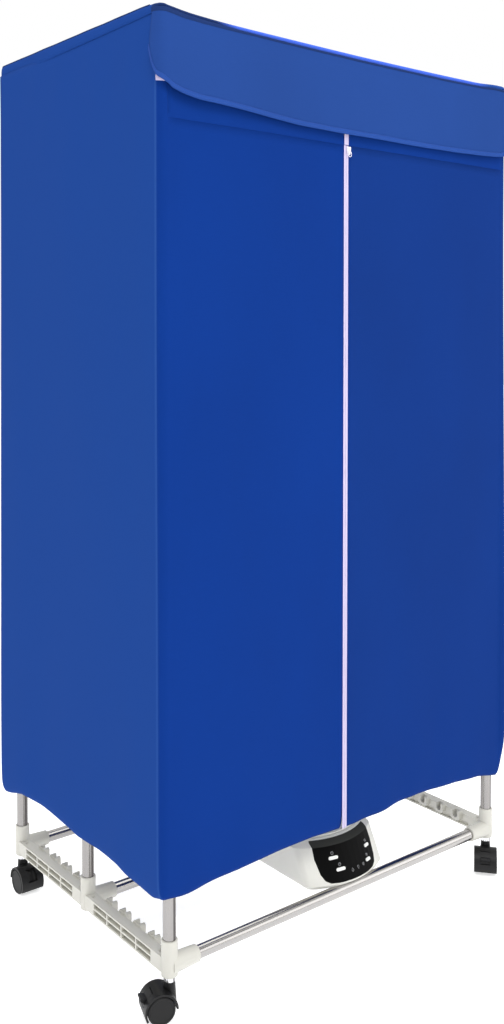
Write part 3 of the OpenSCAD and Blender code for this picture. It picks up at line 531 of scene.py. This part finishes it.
def wall_path(x_end, step):
    """Plan path of the left wall from its rear seam to x_end on the front: x, y, normal and run length."""
    # the back's own cloth starts at 90 degrees
    pts = around(FLAT_HD, np.linspace(91.5, 180, 9))
    count = int(2 * FLAT_HD / step)
    pts += [(-COVER_HW, FLAT_HD - 2 * FLAT_HD * k / count, -1.0, 0.0) for k in range(1, count)]
    pts += around(-FLAT_HD, np.linspace(180, 270, 11))
    width = x_end + FLAT_HW
    count = int(width / step)
    pts += [(-FLAT_HW + width * k / count, -COVER_HD, 0.0, -1.0) for k in range(1, count + 1)]
    pts = np.array(pts)
    return pts, run_along(pts[:, :2])


def wall_low(side, x, y):
    """Height of the hem below each column of a wall."""
    front_low = hem_at(HEM_FRONT, x * (-side))
    low = np.where(y < -FLAT_HD + 1, front_low, hem_at(HEM_SIDE, y))
    beyond = smooth_step((y + FLAT_HD + 24) / 24)
    low = low * beyond + front_low * (1 - beyond)
    if side > 0:
        low = np.where(y >= -FLAT_HD + 1, low + 2.0, low)
    return low


def corner_slack(side, y, nx, ny, z, height):
    """Loose cloth that bellies out at the rear left and the front right corner."""
    turn = np.degrees(np.arctan2(ny, nx)) % 360
    if side < 0:
        along = np.exp(-((y - FLAT_HD) / 110.0) ** 2) * (y > 0)
        slack = np.where(turn < 179, smooth_step((turn - 92) / 35.0), along)
        return slack * (3.5 + 7.0 * smooth_step((1350 - z) / 1300.0))
    along = np.exp(-((y + FLAT_HD) / 110.0) ** 2) * (y < 0) * (turn < 181)
    slack = np.where((turn > 181) & (y < 0), smooth_step((270 - turn) / 35.0), along)
    return slack * 8.5 * smooth_step((1250 - z) / 1000.0) * smooth_step(height / 80.0)


def hem_curl(height):
    """How far an elastic turned hem draws the cloth in."""
    return np.exp(-height / 7.0) * 5.0 + np.exp(-height / 30.0) * 1.6


def wall_relief(side, pts, run, x_end, low, z):
    """How far each point of a wall stands out from its plan path."""
    x, y, nx, ny = pts.T
    height = z - low
    share = np.clip(height / (WALL_TOP - low), 0, 1)
    seed = 11 if side < 0 else 23
    side_t = np.clip((FLAT_HD - y) / (2 * FLAT_HD), 0, 1)
    side_face = np.where(nx < -0.99, np.sin(math.pi * side_t), 0.0)
    in_front = (np.abs(ny + 1) < 1e-6) & (x > -FLAT_HW + 0.5)
    front_t = np.clip((x + FLAT_HW) / (x_end + FLAT_HW), 0, 1)
    front_face = np.where(in_front, np.sin(math.pi * front_t), 0.0)
    bow = 3.0 * np.sin(math.pi * share) * (side_face + front_face)
    broad = waves(run, z, seed, 5, 330, 900) * 0.9
    folds = waves(run, z, seed + 1, 6, 120, 1500) * 0.4
    ripple = waves(run, z, seed + 2, 6, 95, 380) * 1.6 * np.exp(-height / 120.0)
    pull = waves(run, z, seed + 3, 5, 70, 160) * 0.5 * smooth_step((z - 1180) / 160.0)
    calm = smooth_step((WALL_TOP - z) / 40.0)
    bend = np.minimum(np.abs(run - run[4]), np.abs(run - run[np.argmin(np.abs(nx - ny) + (y > 0))]))
    corner = 0.35 + 0.65 * smooth_step((bend - 11) / 45.0)
    out = bow + (broad + folds + ripple + pull) * corner * calm
    # the cloth stays outside the zip, the header and the frame
    near_zip = smooth_step(np.abs(x_end - x) / 40.0)
    frontness = smooth_step((-ny - 0.7) / 0.3)
    out = out * (1 - 0.85 * frontness * (1 - near_zip))
    high = frontness * smooth_step((z - DOOR_TOP + 120) / 100.0)
    out = out * (1 - high) + high * np.maximum(out, 0.0) * 0.6
    flat_band = 1 - np.exp(-((z - HEADER_ZIP_Z) / 16.0) ** 2)
    out = np.where(z > DOOR_TOP, out * (1 - frontness * (1 - flat_band)), out)
    out = np.clip(out, -4.5, 8.0)
    out = out + corner_slack(side, y, nx, ny, z, height) - hem_curl(height)
    # soft roll of cloth either side of the zip
    roll = np.exp(-((np.abs(x_end - x) - 5.0) / 5.0) ** 2) * 1.5
    roll = roll * np.clip(height / 60.0, 0, 1) * (1 - smooth_step((z - DOOR_TOP) / 8.0))
    return out + frontness * roll


def cover_wall(name, side, replaced):
    """One side of the cover with its half of the front, as one cloth; side is -1 left or 1 right.
    Both are built in the left wall's place, and the right one is mirrored. Returns the piece and its upper
    rows on the front and round the front corner."""
    reach = ZIP_HALF - 0.7
    x_end = (ZIP_X - reach) if side < 0 else -(ZIP_X + reach)
    pts, run = wall_path(x_end, 7.0)
    x, y, nx, ny = pts.T
    low = wall_low(side, x, y)
    # rows crowd together towards the hem
    door_rows = stations((0, 0.02, 5), (0.02, 0.16, 16), (0.16, 1, 66))
    top_rows = np.linspace(DOOR_TOP, WALL_TOP, 18)[1:]
    z = np.concatenate([low + (DOOR_TOP - low) * door_rows[:, None],
                        np.repeat(top_rows[:, None], len(x), 1)], 0)
    out = wall_relief(side, pts, run, x_end, low, z)
    points = np.stack([x + nx * out, y + ny * out, z], -1)
    points[..., 0] *= -side
    # the front ends at the door's top; the header takes its rows above that
    first_top = len(door_rows) - 1
    door_cols = np.nonzero(x[:-1] > -FLAT_HW - 0.01)[0]
    keep = np.ones((len(z) - 1, len(x) - 1), bool)
    keep[first_top:, door_cols] = False
    top = points[first_top:, door_cols[0]:].copy()
    arc = np.nonzero((ny < 0) & (nx < 0))[0]
    bend_part = (points[first_top:, arc].copy(), np.column_stack([-side * nx[arc], ny[arc]]))
    if side > 0:
        points = points[:, ::-1]
        keep = keep[:, ::-1]
    obj = grid_object(name, points, cloth_wall_left if side < 0 else cloth_wall_right, CLOTH, keep)
    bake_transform(obj)
    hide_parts(*replaced)
    return obj, top, bend_part


wall_left, top_left, bend_left = cover_wall("cloth_wall_left", -1,
                                            ("cover_side_left", "cover_door_left"))
wall_right, top_right, _ = cover_wall("cloth_wall_right", 1,
                                      ("cover_side_right", "cover_door_right"))


def back_wall():
    """Back of the cover, between the two side walls."""
    edge = FLAT_HW - 0.3
    xs = np.linspace(edge, -edge, 100)
    low = 190 + 6 * np.sin(np.radians(0.5 * xs)) - 6 * (xs / edge) ** 2
    v = stations((0, 0.03, 6), (0.03, 1, 90))
    z = low + (WALL_TOP - low) * v[:, None]
    height = z - low
    u = np.broadcast_to(xs, z.shape)
    calm = smooth_step((WALL_TOP - z) / 40.0) * smooth_step((edge - np.abs(u)) / 30.0)
    bow = 3.0 * np.sin(math.pi * v)[:, None] * np.cos(math.pi * u / 2 / edge)
    folds = waves(u, z, 41, 5, 330, 900) * 1.0 + waves(u, z, 42, 6, 120, 1500) * 0.5
    folds = folds + waves(u, z, 43, 6, 95, 380) * 1.6 * np.exp(-height / 120.0)
    out = np.clip(bow + folds * calm, -4, 8) - hem_curl(height)
    obj = grid_object("cloth_back", np.stack([u, COVER_HD + out, z], -1), cloth_side, CLOTH)
    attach(obj, "cabinet")
    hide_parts("cover_back")
    return obj


cloth_back = back_wall()


# ---------- roof ----------
def roof_ring(grow):
    """Rounded rectangle of the roof, counter-clockwise, grown by grow."""
    r = CORNER + grow
    corners = [(FLAT_HW, FLAT_HD), (-FLAT_HW, FLAT_HD), (-FLAT_HW, -FLAT_HD), (FLAT_HW, -FLAT_HD)]
    pts = []
    for k, (cx, cy) in enumerate(corners):
        for a in np.radians(np.linspace(90 * k, 90 * k + 90, 8)):
            pts.append((cx + r * math.cos(a), cy + r * math.sin(a)))
        # straight stretch to where the next corner starts
        nx, ny = corners[(k + 1) % 4]
        here, there = pts[-1], [(nx, ny + r), (nx - r, ny), (nx, ny - r), (nx + r, ny)][k]
        steps = 60 if k % 2 == 0 else 40
        for j in range(1, steps):
            pts.append(tuple(p + (q - p) * j / steps for p, q in zip(here, there)))
    return np.array(pts)


# height of the roof's edge, where it rolls over the frame: (x, z) along the front and (y, z) along a side
ROLL_FRONT = np.array([
    (-370, 1414), (-356, 1413), (-331, 1408.4), (-297, 1406.9), (-262, 1405.4), (-226, 1404.8),
    (-151, 1404.1), (-72, 1403.4), (12, 1402.9), (102, 1403.2), (199, 1403.9), (303, 1405.2), (320, 1407.2),
    (331, 1408.8), (356, 1408.8), (370, 1407.2)])
ROLL_LEFT = np.array([
    (-234, 1414.5), (-213, 1416.5), (-161, 1417.5), (-106, 1418.5), (0, 1420.5), (80, 1422.5), (150, 1424),
    (225, 1425.5), (248, 1425.5)])
ROLL_RIGHT = np.array([
    (-234, 1408.0), (-213, 1410.0), (-161, 1412), (-106, 1415), (0, 1419), (150, 1423), (248, 1425)])
# height of the flap's upper edge: (x, z)
FLAP_TOP = np.array([
    (-378, 1407.8), (-356, 1407.0), (-331, 1403.4), (-297, 1401.2), (-262, 1399.4), (-226, 1398.2),
    (-151, 1396.9), (-72, 1396.2), (12, 1395.7), (102, 1396.0), (199, 1396.5), (303, 1398.6), (335, 1401.0),
    (378, 1400.5)])


def flap_top(x):
    return np.interp(x, *FLAP_TOP.T)


def roof_crest(x, y, in_front):
    """Height of the roof's edge all round: sagging along the front and rising to the rear corners."""
    at_back = smooth_step((y - 236) / 8.0)
    crest = np.where(x < 0, np.interp(y, *ROLL_LEFT.T), np.interp(y, *ROLL_RIGHT.T))
    crest = crest * (1 - at_back) + (1419.5 + 5.8 * (x / 370) ** 2) * at_back
    crest = crest * (1 - in_front) + np.interp(x, *ROLL_FRONT.T) * in_front
    kernel = np.array([1, 2, 3, 2, 1]) / 9.0
    return np.convolve(np.concatenate([crest[-2:], crest, crest[:2]]), kernel, "valid")


def roof_points():
    """Rows of the roof cloth: a short skirt, a roll over the edge of the frame and a loose top."""
    ring = roof_ring(0.0)
    outward = roof_ring(1.0) - ring
    x, y = ring.T
    in_front = smooth_step((-y - 236) / 8.0)
    crest = roof_crest(x, y, in_front)
    roll = 5.5 - 2.0 * in_front
    low = (1 - in_front) * 1401.0 + in_front * (flap_top(x) - 3.0)
    rows = []
    for t, grow, front_grow in ((0.0, 0.9, -1.7), (0.4, 1.3, -1.3), (0.75, 1.3, -0.3), (0.92, 1.1, 0.2)):
        reach = grow * (1 - in_front) + front_grow * in_front
        rows.append(np.column_stack([ring + outward * reach[:, None], low + (crest - roll - low) * t]))
    wobble = waves(x + y, x - y, 62, 6, 160, 190) * 0.5
    for a in np.radians((0, 25, 50, 70, 90)):
        c, d = math.cos(a), math.sin(a)
        inset = (0.8 - 0.3 * in_front) * c - roll * (1 - c)
        z = crest - roll + roll * d + wobble * d * (1 - in_front)
        rows.append(np.column_stack([ring + outward * inset[:, None], z]))
    for f in np.concatenate([[0.965, 0.95, 0.935, 0.92], np.linspace(0.9, 0.03, 30)]):
        p = ring * f
        level = 1414.8 + 5.5 * smooth_step((p[:, 1] + 150) / 350.0)
        level = level + waves(p[:, 0], p[:, 1], 61, 6, 210, 170) * 0.5
        loose = smooth_step((0.97 - f) / 0.3)
        z = (crest + wobble) * (1 - loose) + level * loose
        limit = np.interp(p[:, 0] / f, *ROLL_FRONT.T) + 0.36 * np.maximum(p[:, 1] + 246.0, 0)
        rows.append(np.column_stack([p, np.minimum(z, limit)]))
    return np.array(rows)


def roof_piece():
    """Roof cloth, and the line along its crest."""
    points = roof_points()
    rows, cols = points.shape[:2]
    obj = grid_object("cloth_roof", points, cloth_roof, 0.8, closed=True)
    me = obj.data
    bm = bmesh.new()
    bm.from_mesh(me)
    bm.verts.ensure_lookup_table()
    bm.faces.new([bm.verts[(rows - 1) * cols + j] for j in range(cols)])
    bm.to_mesh(me)
    bm.free()
    for p in me.polygons:
        p.use_smooth = True
    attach(obj, "cabinet")
    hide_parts("cover_roof")
    return obj, points[6]


cloth_roof_obj, crest_line = roof_piece()
# piping along the crest, from one front corner round the back to the other; its dark tone is partly painted
# shade
ring = crest_line[(crest_line[:, 1] > -232)]
start = int(np.argmax(np.linalg.norm(np.diff(ring, axis=0), axis=1))) + 1
piping = tube_object("roof_piping", np.roll(ring, -start, axis=0), 1.2, cloth_edge, 8)
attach(piping, "cabinet")


# ---------- header, behind the top of the doors, with its cross zip ----------
def header_piece():
    """Front strip above the doors, level with them, whose lower edge laps behind their tops."""
    lap_y, bend_z = -246.1, 1340
    upper = np.concatenate([top_left, top_right[:, ::-1]], 1)
    x, y_door = upper[0, :, 0], upper[0, :, 1]
    rows = [np.column_stack([x, np.full(len(x), lap_y), np.full(len(x), DOOR_TOP - 16.0)])]
    for up, back in ((-8.0, 1.6), (-1.0, 1.2), (0.08, 1.05), (0.12, 0.0)):
        rows.append(np.column_stack([x, np.minimum(y_door + back, lap_y), np.full(len(x), DOOR_TOP + up)]))
    upper[0, :, 2] = DOOR_TOP + 0.4
    # its upper edge follows the flap's
    z = upper[..., 2]
    lowered = bend_z + (z - bend_z) * (flap_top(x) - 1.5 - bend_z) / (WALL_TOP - bend_z)
    upper[..., 2] = np.where(z > bend_z, lowered, z)
    obj = grid_object("cloth_header", np.concatenate([np.array(rows), upper], 0), cloth_front, CLOTH)
    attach(obj, "cabinet")
    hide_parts("cover_header")
    return obj


cloth_header = header_piece()


FRONT = np.array([0.0, -1.0, 0.0])
HEADER_TEETH = (-0.9, 0.9)


def zip_frame(a, b):
    """Start, direction, direction across and length of a zip from a to b, seen from the front."""
    a, b = np.array(a, float), np.array(b, float)
    length = np.linalg.norm(b - a)
    d = (b - a) / length
    return a, d, np.cross(FRONT, d), length


def zip_strip(name, a, b, width, body, replaced=None, wavy=False):
    """Zip tape between points a and b, with bevelled edges."""
    a, d, across, length = zip_frame(a, b)
    count = max(8, int(length / 9))
    profile = [(-0.5, 0.0), (-0.5, 0.5), (-0.28, 0.75), (0.28, 0.75), (0.5, 0.5), (0.5, 0.0)]
    verts = []
    for k in range(count + 1):
        s = length * k / count
        wobble = 0.22 * math.sin(s * 0.021 + 1.0) + 0.14 * math.sin(s * 0.055) if wavy else 0.0
        verts += [a + d * s + across * (w * width + wobble) + FRONT * h for w, h in profile]
    cols = len(profile)
    faces = []
    for i in range(0, count * cols, cols):
        for j in range(cols):
            k = (j + 1) % cols
            faces.append((i + j, i + cols + j, i + cols + k, i + k))
    faces.append(tuple(range(cols)))
    faces.append(tuple(reversed(range(count * cols, (count + 1) * cols))))
    obj = mesh_object(name, verts, faces, zip_cloth, smooth=False)
    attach(obj, body)
    if replaced:
        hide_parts(replaced)


def zip_coil(name, a, b, body, reach, pitch=1.6):
    """Teeth of a coil zip: small blocks in a row, each from reach[0] to reach[1] across."""
    a, d, across, length = zip_frame(a, b)
    mid = (reach[0] + reach[1]) / 2
    corners = ((-0.5, reach[0]), (0.5, reach[0]), (0.5, reach[1]), (-0.5, reach[1]))
    verts, faces = [], []
    for k in range(int(length / pitch)):
        c = a + d * (k + 0.5) * pitch
        base = len(verts)
        for lift, taper in ((0.0, 1.0), (0.45, 0.8)):
            for along, side in corners:
                verts.append(c + d * along * pitch * 0.62 * taper + across * (mid + (side - mid) * taper)
                             + FRONT * lift)
        faces += [(base + j, base + (j + 1) % 4, base + 4 + (j + 1) % 4, base + 4 + j) for j in range(4)]
        faces.append((base + 4, base + 5, base + 6, base + 7))
    obj = mesh_object(name, verts, faces, zip_teeth, smooth=False)
    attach(obj, body)


for tag, way in (("left", -1), ("right", 1)):
    at, door = ZIP_X + way * 2.35, "door_" + tag
    zip_strip("zip_tape_half_" + tag, (at, TAPE_Y, ZIP_LOW), (at, TAPE_Y, DOOR_TOP - 0.4), 4.4, door,
              "zip_tape_" + tag)
    zip_coil("zip_coil_" + tag, (ZIP_X, TAPE_Y - TEETH_LIFT, ZIP_LOW + 2.4 + 0.4 * way),
             (ZIP_X, TAPE_Y - TEETH_LIFT, DOOR_TOP - 2), door, (-1.7, -0.12) if way < 0 else (0.12, 1.7))
# its upper end goes on over the fixed strip, up to the cross zip
head_y = float(top_left[:, -1, 1].min()) - 0.3
for tag, way in (("left", -1), ("right", 1)):
    at = ZIP_X + way * 2.2
    zip_strip("zip_head_half_" + tag, (at, head_y, DOOR_TOP + 0.5), (at, head_y, HEADER_ZIP_Z - 3.6), 4.3,
              "cabinet")
zip_coil("zip_head_coil", (ZIP_X, head_y - TEETH_LIFT, DOOR_TOP + 1.6),
         (ZIP_X, head_y - TEETH_LIFT, HEADER_ZIP_Z - 4.0), "cabinet", HEADER_TEETH, pitch=2.4)
zip_strip("header_zip_tape", (-355.4, HEADER_Y, HEADER_ZIP_Z), (355.4, HEADER_Y, HEADER_ZIP_Z), 8.0,
          "cabinet", "header_zip", wavy=True)
zip_coil("header_zip_coil", (-354.0, HEADER_Y - TEETH_LIFT, HEADER_ZIP_Z),
         (354.0, HEADER_Y - TEETH_LIFT, HEADER_ZIP_Z), "cabinet", HEADER_TEETH, pitch=2.4)


def zip_end():
    """End of the cross zip, sewn on round the front left corner just below the flap."""
    surface, normals = bend_left
    rows = []
    for up, lift in ((-4.2, 0.1), (-3.9, 0.6), (-1.2, 0.8), (1.2, 1.2), (3.9, 0.6), (4.2, 0.1)):
        z = HEADER_ZIP_Z + up
        row = []
        for j in np.nonzero(normals[:, 1] < -0.25)[0]:
            px, py = (np.interp(z, surface[:, j, 2], surface[:, j, c]) for c in (0, 1))
            nx, ny = normals[j]
            row.append((px + nx * lift, py + ny * lift, z + 1.8 * (1 + ny)))
        rows.append(row)
    obj = grid_object("header_zip_end", np.array(rows), zip_cloth, 0)
    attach(obj, "cabinet")


zip_end()


def slider_piece():
    """Slider body with a crowned top, side flanges and a ring pull."""
    x0, y0, top = ZIP_X + 4.2, -249.35, DOOR_TOP - 2.0
    middle = 6.3
    outline = [(-4.0, 0.0), (4.0, 0.0), (4.0, -3.0), (3.4, -8.0), (2.6, -12.6), (-2.6, -12.6), (-3.4, -8.0),
               (-4.0, -3.0)]
    n = len(outline)
    bm = bmesh.new()
    rings = []
    for dy, f in ((0.0, 1.0), (-1.4, 1.0), (-2.1, 0.86), (-2.4, 0.6)):
        places = [(x0 + px * f, y0 + dy, top - middle + (pz + middle) * f) for px, pz in outline]
        rings.append([bm.verts.new([c * MM for c in place]) for place in places])
    for outer, inner in zip(rings, rings[1:]):
        for j in range(n):
            bm.faces.new((outer[j], outer[(j + 1) % n], inner[(j + 1) % n], inner[j]))
    bm.faces.new(list(reversed(rings[0])))
    bm.faces.new(rings[-1])
    bmesh.ops.recalc_face_normals(bm, faces=bm.faces)
    me = bpy.data.meshes.new("zip_slider_body")
    bm.to_mesh(me)
    bm.free()
    obj = new_object("zip_slider_body", me)
    obj.data.materials.append(zip_metal)
    bevel = obj.modifiers.new("edges", "BEVEL")
    bevel.width = 0.35 * MM
    bevel.segments = 2
    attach(obj, "slider")
    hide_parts("zip_slider")
    arch = ((2.2, 3.5), (3.3, 4.2), (3.6, 6.4), (3.3, 8.6), (2.2, 9.3))
    line = [(x0, y0 - out, top - down) for out, down in arch]
    bridge = tube_object("zip_slider_bridge", line, 0.6, zip_metal, 6)
    a = np.linspace(0, 2 * math.pi, 25)[:-1]
    loop = np.column_stack([x0 + 3.3 * np.sin(a), y0 - 3.2 + 0.25 * np.cos(a), top - 11.6 + 4.4 * np.cos(a)])
    pull = tube_object("zip_slider_pull", loop, 0.6, zip_metal, 6, closed=True)
    for part in (bridge, pull):
        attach(part, "slider")


slider_piece()


# ---------- flap ----------
# how far the flap hangs below its hinge: (angle, reach) round the left corner, (x, reach) along the front
# and (angle, reach) a little way round the right corner
FLAP_LEFT = np.array([
    (180, 58), (190, 71), (202, 85), (213, 94), (239, 100), (270, 109)])
FLAP_FRONT = np.array([
    (-356, 110), (-338, 116), (-308, 120.5), (-282, 121), (-230, 123.5), (-186, 127), (-127, 131),
    (-85, 131.5), (-31, 132.4), (60, 132.3), (150, 132.6), (238, 131.6), (300, 129.6), (340, 127),
    (356, 124)])
FLAP_RIGHT = np.array([
    (270, 124), (290, 119), (310, 112), (328, 98)])


def flap_corner(angle, side):
    """Plan point and normal of the flap where it goes round a corner; side is -1 left or 1 right."""
    c, d = math.cos(math.radians(angle)), math.sin(math.radians(angle))
    r = CORNER + 1.6 + 1.2 * smooth_step(abs(angle - 270) / 50.0)
    return side * FLAT_HW + r * c, -FLAT_HD + r * d, c, d


def flap_plan():
    """Columns of the flap round the left corner, along the front and a little round the right one:
    plan point, outward normal, reach of the flap there and share of a corner."""
    cols = []
    for a in np.linspace(180, 270, 14)[:-1]:
        cols.append((*flap_corner(a, -1), np.interp(a, *FLAP_LEFT.T), (270 - a) / 90))
    for x in np.linspace(-FLAT_HW, FLAT_HW, 96):
        cols.append((x, FLAP_HINGE_Y - 0.2, 0, -1, np.interp(x, *FLAP_FRONT.T), 0))
    for a in np.linspace(270, 328, 9)[1:]:
        cols.append((*flap_corner(a, 1), np.interp(a, *FLAP_RIGHT.T), (a - 270) / 90))
    cols = np.array(cols, float)
    cols[1:-1, 4] = np.convolve(cols[:, 4], [0.25, 0.5, 0.25], "valid")
    return cols


def flap_points(plan, rows_v):
    """Points of the flap; each row lies at its share of the reach below the upper edge."""
    bx, by, nx, ny, reach, bend = plan.T
    run = run_along(plan[:, :2])
    v = rows_v[:, None]
    top_limit = FLAP_HINGE_Z - 0.3
    top = np.minimum(flap_top(bx), top_limit)
    depth = (top - (top_limit - reach)) * v
    out = 4.2 * np.sin(np.radians(90 * v)) + 1.2 * smooth_step((depth - 10) / 30)
    folds = waves(run, depth, 81, 5, 240, 400) * 0.9 + waves(run, depth, 82, 5, 95, 260) * 0.4
    out = out + folds * smooth_step((depth - 12) / 80)
    out = np.maximum(out, 0.2 * v) * (1 - 0.45 * bend)
    # its lower edge stands off, most of all towards the left
    out = out + (1.0 + 3.5 * smooth_step((-150 - bx) / 180.0) * (1 - 0.6 * bend)) * v ** 2
    return np.stack([bx + nx * out, by + ny * out, top - depth], -1)


def flap_hem(points):
    """Turned hem along the lower edge, a second layer on the outside, and its two rows of stitching."""
    up = []
    for j in range(points.shape[1]):
        column = points[::-1, j]
        run = run_along(column)
        up.append([point_at(s, run, column) for s in (0.0, 2.5, 5.0, 7.5)])
    up = np.array(up).transpose(1, 0, 2)
    tangent = np.gradient(points[-1], axis=0)
    tangent /= np.linalg.norm(tangent, axis=1)[:, None]
    normal = np.cross(tangent, up[1] - up[0])
    normal /= np.linalg.norm(normal, axis=1)[:, None]
    layers = ((0, 0.05), (0, 0.75), (1, 0.95), (2, 0.9), (3, 0.75), (3, 0.05))
    hem = grid_object("flap_hem", np.array([up[k] + normal * lift for k, lift in layers]), cloth_hem, 0)
    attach(hem, "flap")
    threads = [stitches("flap_stitching", up[3] * 0.6 + up[2] * 0.4 + normal * 0.82, normal),
               stitches("flap_stitching_low", up[1] + normal * 0.98, normal)]
    return hem, threads


def flap_binding(plan, points):
    """Binding tape along the top edge, where the flap is sewn to the roof."""
    # wider towards the left, where its dark tone stands in for the shade at the roof's front left corner
    wide = np.interp(plan[:, 0], [-380, -330, -210, 340, 372], [6.5, 6.5, 3.6, 3.2, 4.0])
    rows = []
    for t in np.linspace(0, 1, 5):
        lift = 0.25 + 0.5 * math.sin(math.pi * t)
        row = []
        for j, (nx, ny) in enumerate(plan[:, 2:4]):
            top = points[0, j, 2]
            px, py = (np.interp(wide[j] * t, top - points[:, j, 2], points[:, j, c]) for c in (0, 1))
            row.append((px + nx * lift, py + ny * lift, top + 0.3 - wide[j] * t))
        rows.append(row)
    tape = grid_object("flap_top_binding", np.array(rows)[::-1], cloth_edge, 0)
    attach(tape, "cabinet")
    return tape


def flap_piece():
    """The flap's cloth and its trim."""
    plan = flap_plan()
    points = flap_points(plan, stations((0, 0.12, 5), (0.12, 0.92, 18), (0.92, 1.0, 4)))
    obj = grid_object("cloth_flap", points[::-1], cloth_flap, CLOTH)
    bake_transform(obj)
    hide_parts("cover_flap")
    hem, threads = flap_hem(points)
    return obj, [hem, flap_binding(plan, points)] + threads


flap, flap_trim = flap_piece()


# ---------- small marks on the heater's panel ----------
panel_mesh = nodes["heater_panel"]
panel_inverse = panel_mesh.matrix_world.inverted()
MARK_SCALE, MARK_RADIUS = 1.3, 0.34


def on_panel(x, z, dx, dy):
    """Point just off the panel's face, found by a ray onto the CAD mesh: from [x, height], moved by dx along
    the face and dy up it."""
    lean = math.atan(HEATER_LEAN / HEATER_H)
    r = HEATER_R - HEATER_LEAN * z / HEATER_H
    a = math.asin(x / r)
    across = Vector((math.cos(a), math.sin(a), 0))
    out = Vector((math.sin(a) * math.cos(lean), -math.cos(a) * math.cos(lean), math.sin(lean)))
    upward = out.cross(across)
    if upward.z < 0:
        upward = -upward
    place = Vector((HEATER[0] + r * math.sin(a), HEATER[1] - r * math.cos(a), HEATER[2] + z))
    place = place + across * dx + upward * dy
    origin = panel_inverse @ ((place + out * 12.0) * MM)
    hit, where, _, _ = panel_mesh.ray_cast(origin, panel_inverse.to_3x3() @ -out)
    if hit:
        place = (panel_mesh.matrix_world @ where) / MM
    return place + out * 0.12


def circle(radius, start=0.0, end=360.0, cy=0.0):
    """Points round a circle or arc whose centre is at height cy."""
    angles = np.radians(np.linspace(start, end, 20))
    return [(radius * math.cos(a), cy + radius * math.sin(a)) for a in angles]


def wave_x(x):
    return [(x, -1.6), (x + 0.5, -0.6), (x - 0.5, 0.5), (x, 1.6)]


def wave_y(y):
    return [(-1.9, y), (-0.6, y + 0.5), (0.7, y - 0.5), (1.9, y)]


def ray(a):
    return [(r * math.cos(a), r * math.sin(a)) for r in (1.4, 2.1)]


# place of each mark on the panel, as [x, height], and its strokes
ICONS = {
    "icon_power": (-32, 46.5, [circle(1.7, 120, 420), [(0, 0.4), (0, 2.3)]]),
    "icon_timer": (-24, 29.5, [circle(1.8), [(0, 1.3), (0, 0), (0.9, 0)]]),
    "icon_heat": (44, 44.5, [wave_x(x) for x in (-1.4, 0.0, 1.4)]),
    "icon_air": (38, 26.5, [wave_y(y) for y in (-1.1, 0.0, 1.1)]),
    "icon_drop": (-2, 17.0, [circle(1.4, 150, 390, -0.5) + [(0, 2.2), (-1.21, 0.2)]]),
    "icon_bulb": (11, 17.5, [circle(1.3, -50, 230, 0.6), [(-0.6, -1.0), (0.6, -1.0)],
                             [(-0.5, -1.8), (0.5, -1.8)]]),
    "icon_sun": (24, 18.0, [circle(0.9)] + [ray(a) for a in np.linspace(0, 2 * math.pi, 9)[:-1]]),
}
for icon, (ix, iz, strokes) in ICONS.items():
    for k, stroke in enumerate(strokes):
        path = [on_panel(ix, iz, MARK_SCALE * dx, MARK_SCALE * dy) for dx, dy in stroke]
        mark = tube_object("%s_%d" % (icon, k), path, MARK_RADIUS, icon_grey, 5)
        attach(mark, "cabinet")

# ---------- floor ----------
floor_material, floor_tree, floor_shader = new_material("floor_pale")
floor_stops = [(0.3, (0.93, 0.93, 0.93)), (0.7, (0.95, 0.95, 0.95))]
floor_tone = ramp(floor_tree, noise(floor_tree, coords(floor_tree), 3.0), floor_stops)
fill(floor_tree, floor_shader, {"Base Color": floor_tone, "Roughness": 0.9, "Specular IOR Level": 0.1,
                                "Emission Color": (1, 1, 1, 1), "Emission Strength": 0.6})
bpy.ops.mesh.primitive_plane_add(size=40.0, location=(0, 0, 0))
floor = bpy.context.object
floor.name = "floor"
floor.data.materials.append(floor_material)

# ---------- light ----------
world = bpy.data.worlds.new("studio")
world.use_nodes = True
bpy.context.scene.world = world
sky_tree = world.node_tree
background = sky_tree.nodes["Background"]
turn = sky_tree.nodes.new("ShaderNodeMapping")
sky = sky_tree.nodes.new("ShaderNodeTexCoord").outputs["Generated"]
fill(sky_tree, turn, {"Vector": sky, "Rotation": (0, 0, -AZ)})
sky_x, sky_y, _ = split(sky_tree, turn.outputs["Vector"])
# two dark flags behind the camera give the tubes their dark stripes
flag = math_node(sky_tree, "COMPARE", math_node(sky_tree, "ABSOLUTE", sky_x), 0.62)
fill(sky_tree, flag.node, {2: 0.14})
behind = math_node(sky_tree, "LESS_THAN", sky_y, 0.0)
# they light and show in reflections only, so the background stays white from every side
light_path = sky_tree.nodes.new("ShaderNodeLightPath")
unseen = math_node(sky_tree, "SUBTRACT", 1.0, light_path.outputs["Is Camera Ray"])
dark = math_node(sky_tree, "MULTIPLY", math_node(sky_tree, "MULTIPLY", flag, behind), unseen)
flag_stops = [(0.0, (1, 1, 1)), (1.0, (0.06, 0.06, 0.07))]
fill(sky_tree, background, {"Color": ramp(sky_tree, dark, flag_stops), "Strength": 1.0})


def area_light(name, location, target, size, power):
    data = bpy.data.lights.new(name, "AREA")
    data.shape = "RECTANGLE"
    data.size, data.size_y = size
    data.energy = power
    obj = new_object(name, data)
    obj.location = location
    obj.rotation_mode = "QUATERNION"
    obj.rotation_quaternion = (Vector(target) - Vector(location)).to_track_quat("-Z", "Y")


area_light("key", (-1.6, -2.3, 3.4), (0, 0, 0.9), (1.3, 1.3), 52)
area_light("fill", (2.6, -3.0, 2.0), (0, 0, 0.7), (2.5, 2.5), 30)
area_light("top", (0.0, 0.0, 3.6), (0, 0, 1.4), (2.5, 2.5), 35)
area_light("under", (0.0, 0.0, 0.64), (0, 0, 0), (0.5, 0.34), 1.2)
bpy.context.scene.view_settings.view_transform = "Standard"
